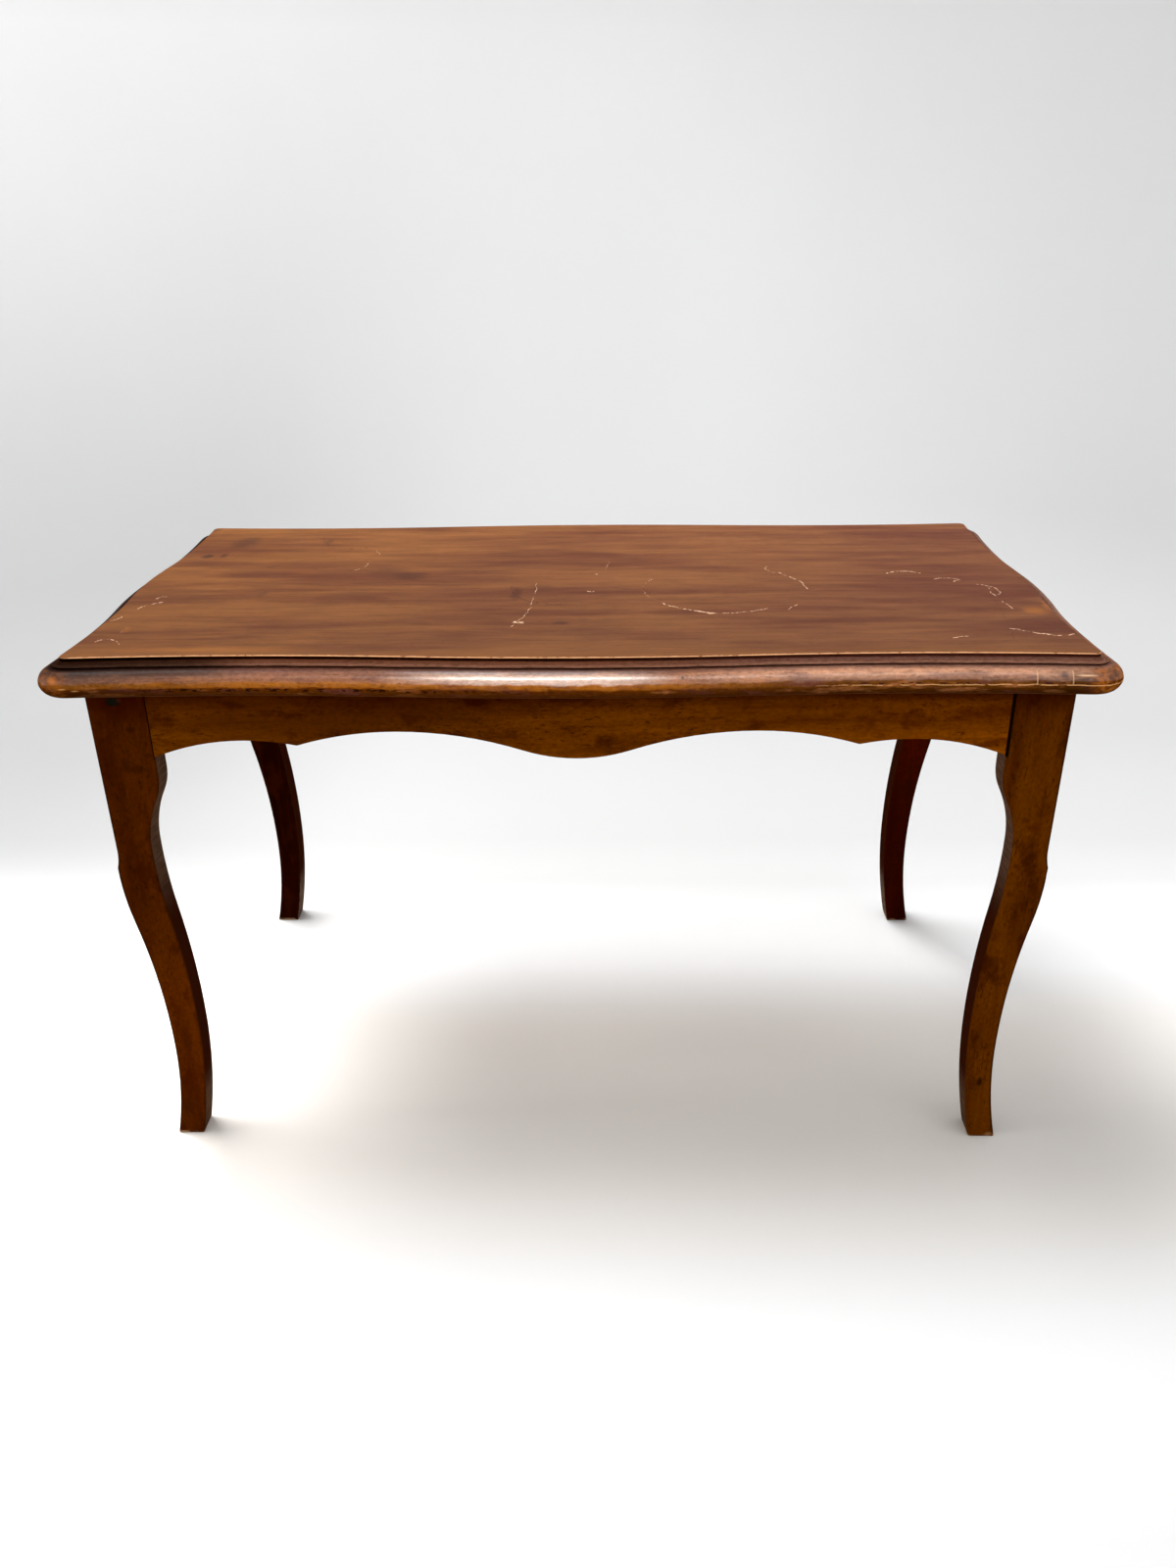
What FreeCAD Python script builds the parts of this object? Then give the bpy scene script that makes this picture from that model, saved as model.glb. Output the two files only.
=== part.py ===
import FreeCAD, Part
import math
import os
from FreeCAD import Vector

# Low wooden table: a serpentine top with a moulded edge on four legs sawn from board.
# Millimetres. +X runs along the long side, +Y to the back, +Z up.
# The origin is on the floor under the middle of the top.
# One quarter of each symmetrical piece is drawn at +X +Y and mirrored to the other corners.

# Whole table
table_height = 480.0
half_base_length = 396.0
half_base_width = 207.0
overrun = 5.0
hair = 0.01
straight_share = 0.000001
across_share = 0.5

# Top outline, measured to its upper edge
top_thickness = 30.0
end_overhang = 12.2
front_overhang = 9.0
long_hollow_depth = 5.0
long_bow_rise = 8.5
short_hollow_depth = 4.4
short_bow_rise = 5.9
corner_radius = 6.0
long_hollow_place_share = 0.66
short_hollow_place_share = 0.51
sway_share = 0.5
board_count = 5

# Moulding round the top, from the upper edge outward and down
edge_ease = 0.8
step_drop = 3.0
cove_out = 5.5
cove_drop = 3.2
fillet_land = 0.8
quirk_drop = 1.4
nose_out = 12.7
nose_drop = 12.0
under_return = 12.2
cove_belly_share = 0.3
round_share = 0.7071

# Legs, profiled in the plane of the long aprons
leg_thickness = 25.0
post_width = 48.7
post_taper = 2.4
knee_width = 32.5
ankle_inset = 21.2
calf_inset = 46.6
foot_inset = 10.1
foot_width = 24.4
outer_round = 2.5
inner_round = 1.2
foot_chamfer = 1.0
scotia_height_share = 0.674
knee_height_share = 0.636
ankle_height_share = 0.216
shoulder_height_share = 0.829
hollow_height_share = 0.678
calf_height_share = 0.262
knee_sway_share = 0.28
shoulder_sway_share = 0.33
shin_sway_share = 0.37

# Aprons and the scallops of their lower edges, as depths below the top
apron_thickness = 22.0
side_apron_setback = 3.0
apron_end_depth = 59.5
drop_depth = 61.0
arch_depth = 37.0
cusp_depth = 49.0
small_arch_depth = 44.5
arch_place_share = 0.423
cusp_place_share = 0.657
small_arch_place_share = 0.783
drop_sway_share = 0.3
side_arch_place_share = 0.56
side_end_sway_share = 0.6

# Dowels in the joints between aprons and legs
dowel_radius = 4.0
dowel_chamfer = 1.0
dowel_in_apron = 20.0
dowel_in_post = 20.0
dowel_in_leg_back = 16.0
dowel_depths = (24.0, 46.0)
glue_gap = 0.1
dowel_end_gap = 1.0

# Corner blocks
block_leg = 68.0
block_end = 8.0
block_height = 36.0
block_screw_reach = 52.0
block_screw_wood = 18.0
top_screw_reach = 26.0
top_screw_wood = 22.0

# Buttons that hold the top down
button_width = 25.0
button_length = 32.0
button_thickness = 16.0
button_gap = 0.3
tongue_length = 7.0
tongue_thickness = 6.0
tongue_lip = 9.0
slot_gap = 0.2
slot_end_gap = 1.0
button_screw_place = 18.0
long_button_share = 0.45
side_button_share = 0.4

# Countersunk wood screws
screw_radius = 2.0
screw_head_radius = 4.0
screw_head_depth = 2.4
screw_tip = 4.0
screw_slot_width = 1.0
screw_slot_depth = 1.1
counterbore_radius = 5.0
block_screw_length = 32.0
top_screw_length = 40.0
button_screw_length = 30.0
screw_gap = 0.1

# Sizes that follow from the ones above
leg_height = table_height - top_thickness
joint_x = half_base_length - post_width
leg_back_y = half_base_width - leg_thickness
long_inner_y = half_base_width - apron_thickness
side_outer_x = half_base_length - side_apron_setback
side_inner_x = side_outer_x - apron_thickness
half_corner_length = half_base_length + end_overhang
half_corner_width = half_base_width + front_overhang
moulding_reach = cove_out + fillet_land + nose_out
long_hollow_y = half_corner_width - long_hollow_depth
long_bow_y = long_hollow_y + long_bow_rise
short_hollow_x = half_corner_length - short_hollow_depth
short_bow_x = short_hollow_x + short_bow_rise
top_half_length = max(half_corner_length, short_bow_x) + moulding_reach
top_half_width = max(half_corner_width, long_bow_y) + moulding_reach

upward = Vector(0, 0, 1)
along = Vector(1, 0, 0)
backward = Vector(0, 1, 0)
middle = Vector(0, 0, 0)


def bend(start, heading, end):
    """Circular edge that leaves start along heading and runs to end."""
    chord = end - start
    reach = chord.Length / 2
    chord_way = Vector(chord).normalize()
    side = heading - chord_way * heading.dot(chord_way)
    if side.Length < straight_share:
        return Part.LineSegment(start, end).toShape()
    angle = math.atan2(side.Length, heading.dot(chord_way))
    crown = (start + end) / 2 + side.normalize() * reach * math.tan(angle / 2)
    return Part.Arc(start, crown, end).toShape()


def sway(start, heading, end, share):
    """Two tangent arcs from start to end that leave and arrive along heading."""
    turn = start + (end - start) * share
    return [bend(start, heading, turn), bend(end, heading * -1, turn)]


def line(start, end):
    return Part.LineSegment(start, end).toShape()


def face_of(edges):
    return Part.Face(Part.Wire(Part.__sortEdges__(edges)))


def mirrored(shape, right, back):
    """The quarter piece moved to the corner that is named by two true or false values."""
    if not right:
        shape = shape.mirror(middle, along)
    if not back:
        shape = shape.mirror(middle, backward)
    return shape


def all_corners(shapes):
    """The quarter shapes repeated at the four corners."""
    copies = []
    for right in (True, False):
        for back in (True, False):
            copies += [mirrored(shape, right, back) for shape in shapes]
    return copies


def aimed(shape, start, way):
    """A shape drawn up from the origin, laid with its foot at start and its axis along way."""
    shape = shape.copy()
    shape.Placement = FreeCAD.Placement(start, FreeCAD.Rotation(upward, way))
    return shape


def rod(start, way, radius, length):
    return Part.makeCylinder(radius, length, start, way)


def turned(points):
    """Solid turned about +Z from points given as radius and height."""
    corners = [Vector(radius, 0, height) for radius, height in points]
    profile = Part.Face(Part.makePolygon(corners + corners[:1]))
    return profile.revolve(middle, upward, 360)


def write(name, shape):
    shape.exportStep("parts/" + name + ".step")


# Top

def crossing(first, first_radius, second, second_radius, near):
    """The point nearest to near that lies at two distances from two centres."""
    between = second - first
    gap = between.Length
    share = (first_radius ** 2 - second_radius ** 2 + gap ** 2) / (2 * gap ** 2)
    foot = first + between * share
    rise = math.sqrt(first_radius ** 2 - (gap * share) ** 2)
    offset = upward.cross(between).normalize() * rise
    return min((foot + offset, foot - offset), key=lambda point: point.distanceToPoint(near))


def top_quarter():
    """Upper edge of the top as arcs, from the middle of the back to the middle of the right side."""
    corner = Vector(half_corner_length, half_corner_width, table_height)
    long_hollow = Vector(half_corner_length * long_hollow_place_share, long_hollow_y, table_height)
    long_bow = Vector(0, long_bow_y, table_height)
    short_hollow = Vector(short_hollow_x, half_corner_width * short_hollow_place_share, table_height)
    short_bow = Vector(short_bow_x, 0, table_height)

    long_ear = bend(long_hollow, along, corner).Curve
    short_ear = bend(short_hollow, backward, corner).Curve
    centre = crossing(
        long_ear.Center,
        long_ear.Radius + corner_radius,
        short_ear.Center,
        short_ear.Radius + corner_radius,
        corner,
    )
    long_end = centre + (long_ear.Center - centre).normalize() * corner_radius
    short_end = centre + (short_ear.Center - centre).normalize() * corner_radius
    tip = centre + (corner - centre).normalize() * corner_radius

    edges = sway(long_bow, along, long_hollow, sway_share)
    edges.append(bend(long_hollow, along, long_end))
    edges.append(Part.Arc(long_end, tip, short_end).toShape())
    edges.append(bend(short_hollow, backward, short_end))
    edges += sway(short_hollow, backward * -1, short_bow, sway_share)
    return edges


def moulding_section(start, outward):
    """Open section of the edge, from the top surface round to the underside, hung from start."""

    def at(out, down):
        return start + outward * out - upward * down

    ease_crown = at(-edge_ease * (1 - round_share), edge_ease * (1 - round_share))
    cove_level = step_drop + cove_drop
    cove_crown = at(cove_out * cove_belly_share, cove_level - cove_drop * cove_belly_share)
    land = cove_out + fillet_land
    quirk_level = cove_level + quirk_drop
    nose_level = quirk_level + nose_drop
    nose = at(moulding_reach, nose_level)
    nose_crown = at(land + nose_out * round_share, nose_level - nose_drop * round_share)
    under_drop = top_thickness - nose_level
    under = at(moulding_reach - under_return, top_thickness)
    under_crown = at(
        moulding_reach - under_return * (1 - round_share), nose_level + under_drop * round_share
    )
    return Part.Wire([
        Part.Arc(at(-edge_ease, 0), ease_crown, at(0, edge_ease)).toShape(),
        line(at(0, edge_ease), at(0, step_drop)),
        Part.Arc(at(0, step_drop), cove_crown, at(cove_out, cove_level)).toShape(),
        line(at(cove_out, cove_level), at(land, cove_level)),
        line(at(land, cove_level), at(land, quirk_level)),
        Part.Arc(at(land, quirk_level), nose_crown, nose).toShape(),
        Part.Arc(nose, under_crown, under).toShape(),
    ])


def moulded_top():
    """Whole top: the section turned round the centre of each arc of the outline, closed flat."""
    skin, rim_above, rim_below = [], [], []
    for edge in top_quarter():
        centre = edge.Curve.Center
        start = edge.valueAt(edge.FirstParameter)
        radius = start - centre
        finish = edge.valueAt(edge.LastParameter) - centre
        outward = Vector(radius).normalize()
        if outward.dot(start) < 0:
            outward = outward * -1
        turn = upward if radius.cross(finish).z > 0 else upward * -1
        degrees = math.degrees(radius.getAngle(finish))
        section = moulding_section(start, outward)
        ends = section.OrderedVertexes
        skin += section.revolve(centre, turn, degrees).Faces
        rim_above.append(ends[0].revolve(centre, turn, degrees))
        rim_below.append(ends[-1].revolve(centre, turn, degrees))
    lid = face_of(all_corners(rim_above))
    base = face_of(all_corners(rim_below))
    shell = Part.Shell(all_corners(skin) + [lid, base])
    shell.sewShape()
    return Part.Solid(shell)


def top_boards(top, rooms):
    """The top parted along its glue lines, with the screw holes made from below."""
    board_width = 2 * top_half_width / board_count
    cuts = [index * board_width - top_half_width for index in range(board_count + 1)]
    cuts[0] -= overrun
    cuts[-1] += overrun
    drilled = top.cut(Part.makeCompound(rooms))
    boards = []
    for front, back in zip(cuts, cuts[1:]):
        corner = Vector(-top_half_length - overrun, front, leg_height - overrun)
        size = (2 * (top_half_length + overrun), back - front, top_thickness + 2 * overrun)
        boards.append(drilled.common(Part.makeBox(*size, corner)).Solids[0])
    return boards


# Legs

def leg_outline():
    """Outer, inner and end edges of a leg's sawn outline, on the back plane of the board."""

    def at(inset, height):
        return Vector(half_base_length - inset, leg_back_y, height)

    down = upward * -1
    post_top = at(0, leg_height)
    scotia = at(post_taper, leg_height * scotia_height_share)
    knee = at(0, leg_height * knee_height_share)
    ankle = at(ankle_inset, leg_height * ankle_height_share)
    foot_outer = at(foot_inset, 0)
    foot_inner = at(foot_inset + foot_width, 0)
    calf = at(calf_inset, leg_height * calf_height_share)
    hollow = at(knee_width, leg_height * hollow_height_share)
    shoulder = at(post_width, leg_height * shoulder_height_share)
    post_inner = at(post_width, leg_height)

    outer = [line(post_top, scotia), bend(scotia, scotia - post_top, knee)]
    outer += sway(knee, down, ankle, knee_sway_share) + [bend(ankle, down, foot_outer)]
    inner = [line(post_inner, shoulder)] + sway(shoulder, down, hollow, shoulder_sway_share)
    inner += sway(hollow, down, calf, shin_sway_share) + [bend(calf, down, foot_inner)]
    ends = [line(foot_outer, foot_inner), line(post_inner, post_top)]
    return outer, inner, ends


def edges_over(board, guides):
    """Edges of a sawn board that lie over the guide edges, on its front or its back face."""
    wire = Part.Wire(Part.__sortEdges__(guides))
    found = []
    for edge in board.Edges:
        halfway = (edge.FirstParameter + edge.LastParameter) / 2
        spot = edge.valueAt(halfway)
        across_board = abs(edge.tangentAt(halfway).y) > across_share
        seen = Part.Vertex(spot.x, leg_back_y, spot.z)
        if not across_board and wire.distToShape(seen)[0] < hair:
            found.append(edge)
    return found


def leg_blank():
    """Leg sawn from board, with its foot eased and then its long edges, the outer ones more."""
    outer, inner, ends = leg_outline()
    leg = face_of(outer + inner + ends).extrude(backward * leg_thickness)
    sole = min(leg.Faces, key=lambda face: face.CenterOfMass.z)
    leg = leg.makeChamfer(foot_chamfer, sole.OuterWire.Edges)
    leg = leg.makeFillet(outer_round, edges_over(leg, outer))
    return leg.makeFillet(inner_round, edges_over(leg, inner))


# Aprons

def long_scallop(level):
    """Lower edge of half a long apron, from its middle to the leg."""
    half = joint_x
    middle_drop = level(0, drop_depth)
    arch = level(half * arch_place_share, arch_depth)
    cusp = level(half * cusp_place_share, cusp_depth)
    small_arch = level(half * small_arch_place_share, small_arch_depth)
    end = level(half, apron_end_depth)
    way = Vector(end - middle_drop)
    way.z = 0
    way.normalize()
    edges = sway(middle_drop, way, arch, drop_sway_share)
    edges += [bend(arch, way, cusp), bend(small_arch, way * -1, cusp), bend(small_arch, way, end)]
    return edges


def side_scallop(level):
    """Lower edge of half a short apron, from its middle to the leg."""
    middle_drop = level(0, drop_depth)
    arch = level(leg_back_y * side_arch_place_share, arch_depth)
    end = level(leg_back_y, apron_end_depth)
    way = Vector(end - middle_drop)
    way.z = 0
    way.normalize()
    return sway(middle_drop, way, arch, drop_sway_share) + sway(arch, way, end, side_end_sway_share)


def apron_board(half_edges, end, flip, depth):
    """Board of one thickness from half of its lower edge and the mirror image of that half."""
    other_half = [edge.mirror(middle, flip) for edge in half_edges]
    far_end = end.mirror(middle, flip)
    top_corner = end.Vertexes[1].Point
    far_corner = far_end.Vertexes[1].Point
    edges = half_edges + other_half + [end, far_end, line(top_corner, far_corner)]
    return face_of(edges).extrude(depth)


def back_apron(rooms):
    def level(place, below):
        return Vector(place, long_inner_y, leg_height - below)

    end = line(level(joint_x, apron_end_depth), level(joint_x, 0))
    board = apron_board(long_scallop(level), end, along, backward * apron_thickness)
    return board.cut(Part.makeCompound(rooms))


def right_apron(rooms):
    def level(place, below):
        return Vector(side_inner_x, place, leg_height - below)

    end = line(level(leg_back_y, apron_end_depth), level(leg_back_y, 0))
    board = apron_board(side_scallop(level), end, backward, along * apron_thickness)
    return board.cut(Part.makeCompound(rooms))


# Dowels

def dowel(start, way, length):
    inside = dowel_radius - dowel_chamfer
    peg = turned([
        (0, 0),
        (inside, 0),
        (dowel_radius, dowel_chamfer),
        (dowel_radius, length - dowel_chamfer),
        (inside, length),
        (0, length),
    ])
    return aimed(peg, start, way)


def dowel_room(start, way, length):
    deeper = start - way * dowel_end_gap
    return rod(deeper, way, dowel_radius + glue_gap, length + 2 * dowel_end_gap)


def corner_dowels(make):
    """The four dowels of one corner, or their holes, by the function that makes one."""
    long_y = half_base_width - apron_thickness / 2
    side_x = side_outer_x - apron_thickness / 2
    pieces = []
    for depth in dowel_depths:
        height = leg_height - depth
        long_start = Vector(joint_x - dowel_in_apron, long_y, height)
        side_start = Vector(side_x, leg_back_y - dowel_in_apron, height)
        pieces.append(make(long_start, along, dowel_in_apron + dowel_in_post))
        pieces.append(make(side_start, backward, dowel_in_apron + dowel_in_leg_back))
    return pieces


# Screws

def screw(start, way, length):
    """Slotted countersunk screw with its head flush at start."""
    body = turned([
        (0, 0),
        (screw_head_radius, 0),
        (screw_radius, screw_head_depth),
        (screw_radius, length - screw_tip),
        (0, length),
    ])
    slot = Part.makeBox(
        2 * screw_head_radius,
        screw_slot_width,
        screw_slot_depth,
        Vector(-screw_head_radius, -screw_slot_width / 2, 0),
    )
    return aimed(body.cut(slot), start, way)


def screw_room(start, way, length):
    """Hole for a screw, with a counterbore that runs back from its head."""
    wide = screw_head_radius + screw_gap
    narrow = screw_radius + screw_gap
    body = turned([
        (0, 0),
        (wide, 0),
        (narrow, screw_head_depth + screw_gap),
        (narrow, length - screw_tip + screw_gap),
        (0, length + screw_gap),
    ])
    return aimed(body, start, way)


def counterbore(start, way, length):
    return rod(start - way * length, way, counterbore_radius, length)


def block_screws(make):
    """The two screws that hold a corner block to its aprons, or their holes."""
    height = leg_height - block_height / 2
    to_long = Vector(side_inner_x - block_screw_reach, long_inner_y - block_screw_wood, height)
    to_side = Vector(side_inner_x - block_screw_wood, long_inner_y - block_screw_reach, height)
    return [make(to_long, backward, block_screw_length), make(to_side, along, block_screw_length)]


def top_screw(make):
    """The screw through a corner block up into the top, or its hole."""
    start = Vector(
        side_inner_x - top_screw_reach, long_inner_y - top_screw_reach, leg_height - top_screw_wood
    )
    return [make(start, upward, top_screw_length)]


# Corner blocks

def corner_block():
    """Block across an inside corner, notched round the leg, with its screw holes."""
    notch_y = leg_back_y
    points = [
        Vector(side_inner_x, notch_y, 0),
        Vector(joint_x, notch_y, 0),
        Vector(joint_x, long_inner_y, 0),
        Vector(side_inner_x - block_leg, long_inner_y, 0),
        Vector(side_inner_x - block_leg, long_inner_y - block_end, 0),
        Vector(side_inner_x - block_end, long_inner_y - block_leg, 0),
        Vector(side_inner_x, long_inner_y - block_leg, 0),
    ]
    block = Part.Face(Part.makePolygon(points + points[:1])).extrude(upward * block_height)
    block.translate(upward * (leg_height - block_height))
    rooms = block_screws(screw_room) + top_screw(screw_room)
    rooms += block_screws(lambda start, way, length: counterbore(start, way, block_leg))
    rooms += top_screw(lambda start, way, length: counterbore(start, way, block_height))
    return block.cut(Part.makeCompound(rooms))


# Buttons

def button_profile_points(lip_gap, tongue_gap, body):
    """Section of a button, or of its slot, as reach from the apron face and depth below the top."""
    upper = tongue_lip - lip_gap
    lower = tongue_lip + tongue_thickness + lip_gap
    tip = -tongue_length - tongue_gap
    if body:
        return [
            (button_gap, 0),
            (button_length, 0),
            (button_length, button_thickness),
            (button_gap, button_thickness),
            (button_gap, lower),
            (tip, lower),
            (tip, upper),
            (button_gap, upper),
        ]
    return [(overrun, upper), (overrun, lower), (tip, lower), (tip, upper)]


def button_shape(origin, inward, width, points):
    """Section carried along the apron by its width, centred on origin at the apron face."""
    across = inward.cross(upward)
    corner = origin - across * width / 2
    spots = [corner + inward * reach - upward * depth for reach, depth in points]
    return Part.Face(Part.makePolygon(spots + spots[:1])).extrude(across * width)


def button_places():
    """Apron face point and inward direction of the buttons in one quarter, by name."""
    return {
        "long": (Vector(joint_x * long_button_share, long_inner_y, leg_height), backward * -1),
        "side": (Vector(side_inner_x, leg_back_y * side_button_share, leg_height), along * -1),
    }


def button(origin, inward):
    body = button_shape(origin, inward, button_width, button_profile_points(0, 0, True))
    return body.cut(button_screw(screw_room, origin, inward))


def button_slot(origin, inward):
    points = button_profile_points(slot_gap, slot_end_gap, False)
    return button_shape(origin, inward, button_width + 2 * slot_end_gap, points)


def button_screw(make, origin, inward):
    start = origin + inward * button_screw_place - upward * button_thickness
    return make(start, upward, button_screw_length)


# Assembly

os.makedirs("parts", exist_ok=True)

places = button_places()
quarter_button_screws = [button_screw(screw, *places[side]) for side in places]
quarter_top_rooms = top_screw(screw_room) + [button_screw(screw_room, *places[side]) for side in places]
dowel_rooms = corner_dowels(dowel_room)
block_rooms = block_screws(screw_room)

board_names = ("front", "front_middle", "centre", "back_middle", "back")
top = moulded_top()
for board_name, board in zip(board_names, top_boards(top, all_corners(quarter_top_rooms))):
    write("top_board_" + board_name, board)

leg = leg_blank().cut(Part.makeCompound(dowel_rooms))
block = corner_block()
dowels = Part.makeCompound(corner_dowels(dowel))
for right in (True, False):
    for back in (True, False):
        corner_name = ("back_" if back else "front_") + ("right" if right else "left")
        write("leg_" + corner_name, mirrored(leg, right, back))
        write("corner_block_" + corner_name, mirrored(block, right, back))
        write("dowels_" + corner_name, mirrored(dowels, right, back))

apron_rooms = all_corners(dowel_rooms + block_rooms + [button_slot(*places[side]) for side in places])
long_apron = back_apron(apron_rooms)
side_apron = right_apron(apron_rooms)
write("apron_back", long_apron)
write("apron_front", mirrored(long_apron, True, False))
write("apron_right", side_apron)
write("apron_left", mirrored(side_apron, False, True))

long_button = button(*places["long"])
side_button = button(*places["side"])
for right in (True, False):
    for back in (True, False):
        side_name = "right" if right else "left"
        end_name = "back" if back else "front"
        write("button_" + end_name + "_" + side_name, mirrored(long_button, right, back))
        write("button_" + side_name + "_" + end_name, mirrored(side_button, right, back))

write("corner_block_screws", Part.makeCompound(all_corners(block_screws(screw))))
write("top_screws", Part.makeCompound(all_corners(top_screw(screw))))
write("button_screws", Part.makeCompound(all_corners(quarter_button_screws)))

box = top.optimalBoundingBox()
print("top", round(box.XLength, 2), round(box.YLength, 2), round(box.ZMax, 2))
print("solids of the top", len(top.Solids), "valid", top.isValid())
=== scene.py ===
# %% [markdown]
# # A stained wooden table with a serpentine top
# The solid pieces come from the CAD model and stay where they are. This lesson gives them
# their finish, lights them and looks at them from the photograph's own place.
# Everything is in metres, +Z is up, and the origin is on the floor under the middle of the top.

# %% Load the solid pieces
import math
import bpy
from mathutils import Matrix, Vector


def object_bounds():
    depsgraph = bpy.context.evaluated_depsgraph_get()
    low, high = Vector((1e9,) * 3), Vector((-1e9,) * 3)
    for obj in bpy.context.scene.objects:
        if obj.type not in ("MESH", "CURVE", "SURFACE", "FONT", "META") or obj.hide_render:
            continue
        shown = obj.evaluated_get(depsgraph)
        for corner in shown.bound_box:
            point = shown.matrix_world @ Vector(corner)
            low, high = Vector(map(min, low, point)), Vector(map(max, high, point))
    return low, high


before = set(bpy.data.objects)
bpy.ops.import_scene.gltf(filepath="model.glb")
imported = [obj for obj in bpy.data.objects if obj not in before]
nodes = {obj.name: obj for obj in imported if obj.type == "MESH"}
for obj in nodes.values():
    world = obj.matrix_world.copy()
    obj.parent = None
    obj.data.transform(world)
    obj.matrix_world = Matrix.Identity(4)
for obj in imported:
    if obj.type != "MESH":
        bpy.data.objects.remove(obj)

from types import SimpleNamespace

import bmesh
import bpy
from mathutils import Matrix, Vector

MM = 0.001
cad_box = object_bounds()
top_z = cad_box[1].z
print("pieces", len(nodes), "box", [round(value, 4) for corner in cad_box for value in corner])

# %% [markdown]
# ## The camera
# A picture is believed when it is seen from the place where it was taken. The place, the turn
# and the lens were found by laying the corners of the top and the four feet over the
# photograph. The table is about 1.1 m away and the camera looks down on it by 25 degrees.

# %% Camera
PICTURE_WIDTH = 1200
PICTURE_HEIGHT = 1600
FOCAL_PIXELS = 1274.01
CAMERA_PLACE = Vector((0.032843, -1.137434, 0.799687))
LOOKING_DOWN = 0.436039
TURNED_LEFT = 0.025933
TILTED = 0.012940
SENSOR = 36.0

camera = bpy.data.objects.new("camera", bpy.data.cameras.new("camera"))
bpy.context.scene.collection.objects.link(camera)
bpy.context.scene.camera = camera
camera.data.sensor_width = SENSOR
camera.data.lens = SENSOR * FOCAL_PIXELS / PICTURE_HEIGHT
turn = (
    Matrix.Rotation(TURNED_LEFT, 3, "Z")
    @ Matrix.Rotation(math.pi / 2 - LOOKING_DOWN, 3, "X")
    @ Matrix.Rotation(-TILTED, 3, "Z")
)
camera.matrix_world = Matrix.Translation(CAMERA_PLACE) @ turn.to_4x4()


def seen_at(point):
    """The pixel of the photograph where a point in space is seen."""
    local = turn.transposed() @ (Vector(point) - CAMERA_PLACE)
    right = PICTURE_WIDTH / 2 + FOCAL_PIXELS * local.x / -local.z
    down = PICTURE_HEIGHT / 2 - FOCAL_PIXELS * local.y / -local.z
    return right, down


def ray_through(pixel):
    """The way from the camera through a pixel of the photograph."""
    across = (pixel[0] - PICTURE_WIDTH / 2) / FOCAL_PIXELS
    down = (pixel[1] - PICTURE_HEIGHT / 2) / FOCAL_PIXELS
    return turn @ Vector((across, -down, -1))


def on_level(pixel, height):
    """The point at a height that is seen at a pixel of the photograph."""
    ray = ray_through(pixel)
    return CAMERA_PLACE + ray * ((height - CAMERA_PLACE.z) / ray.z)


def on_front(pixel, depth):
    """The point at a depth along +Y that is seen at a pixel of the photograph."""
    ray = ray_through(pixel)
    return CAMERA_PLACE + ray * ((depth - CAMERA_PLACE.y) / ray.y)


print("lens", round(camera.data.lens, 2))
print("middle of the top seen at", [round(value) for value in seen_at((0, 0, top_z))])

# %% [markdown]
# ## The room
# A studio floor that bends up into a wall has no line behind the object. Its outline is drawn
# once, as a flat run, a quarter round and an upright, and is then spun round the middle, so
# the background is the same from every side. The floor isn't part of the table.

# %% Studio floor
FLOOR_REACH = 1.2
COVE = 1.4
WALL_TOP = 2.8
COVE_STEPS = 12
SPIN_STEPS = 96


def studio_outline():
    """Points of the floor and wall, from the middle outward and up."""
    points = [Vector((0, 0, 0)), Vector((FLOOR_REACH / 2, 0, 0))]
    for step in range(COVE_STEPS + 1):
        angle = math.pi / 2 * step / COVE_STEPS
        out = FLOOR_REACH + COVE * math.sin(angle)
        points.append(Vector((out, 0, COVE * (1 - math.cos(angle)))))
    points.append(Vector((FLOOR_REACH + COVE, 0, WALL_TOP)))
    return points


def mesh_object(name, shape):
    """A new object that holds a bmesh, in the scene."""
    mesh = bpy.data.meshes.new(name)
    shape.to_mesh(mesh)
    shape.free()
    made = bpy.data.objects.new(name, mesh)
    bpy.context.scene.collection.objects.link(made)
    return made


shape = bmesh.new()
corners = [shape.verts.new(point) for point in studio_outline()]
edges = [shape.edges.new(pair) for pair in zip(corners, corners[1:])]
bmesh.ops.spin(
    shape,
    geom=corners + edges,
    cent=(0, 0, 0),
    axis=(0, 0, 1),
    angle=2 * math.pi,
    steps=SPIN_STEPS,
    use_merge=True,
)
bmesh.ops.remove_doubles(shape, verts=shape.verts, dist=MM)
bmesh.ops.recalc_face_normals(shape, faces=shape.faces)
lowest = min(shape.faces, key=lambda face: face.calc_center_median().z)
if lowest.normal.z < 0:
    bmesh.ops.reverse_faces(shape, faces=shape.faces)
for face in shape.faces:
    face.smooth = True
studio = mesh_object("studio", shape)
print("studio faces", len(studio.data.polygons))

# %% [markdown]
# ## The light
# In the photograph a broad soft light stands overhead, behind and to the left, and throws the
# shadow of the top to the front and right. A light that is large for its distance gives a
# soft shadow, so the one for the floor is 4.6 m wide. It is linked to the floor alone, and a
# second one from the same place lights the table, because the floor has to come out far
# brighter than the wood. The fill light on the room is not blocked by the table, and so it
# sets how deep the shadow gets. From the front come a weak light for the frame and a warm,
# high one for the boards, which makes the bright stretch in the middle of the front edge. A
# small one at the left draws a thin shadow from each foot. The room itself is a little
# brighter at the right than at the left.

# %% Lights
ROOM_LIGHT = 0.8
ROOM_SWING = 0.3

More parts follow.
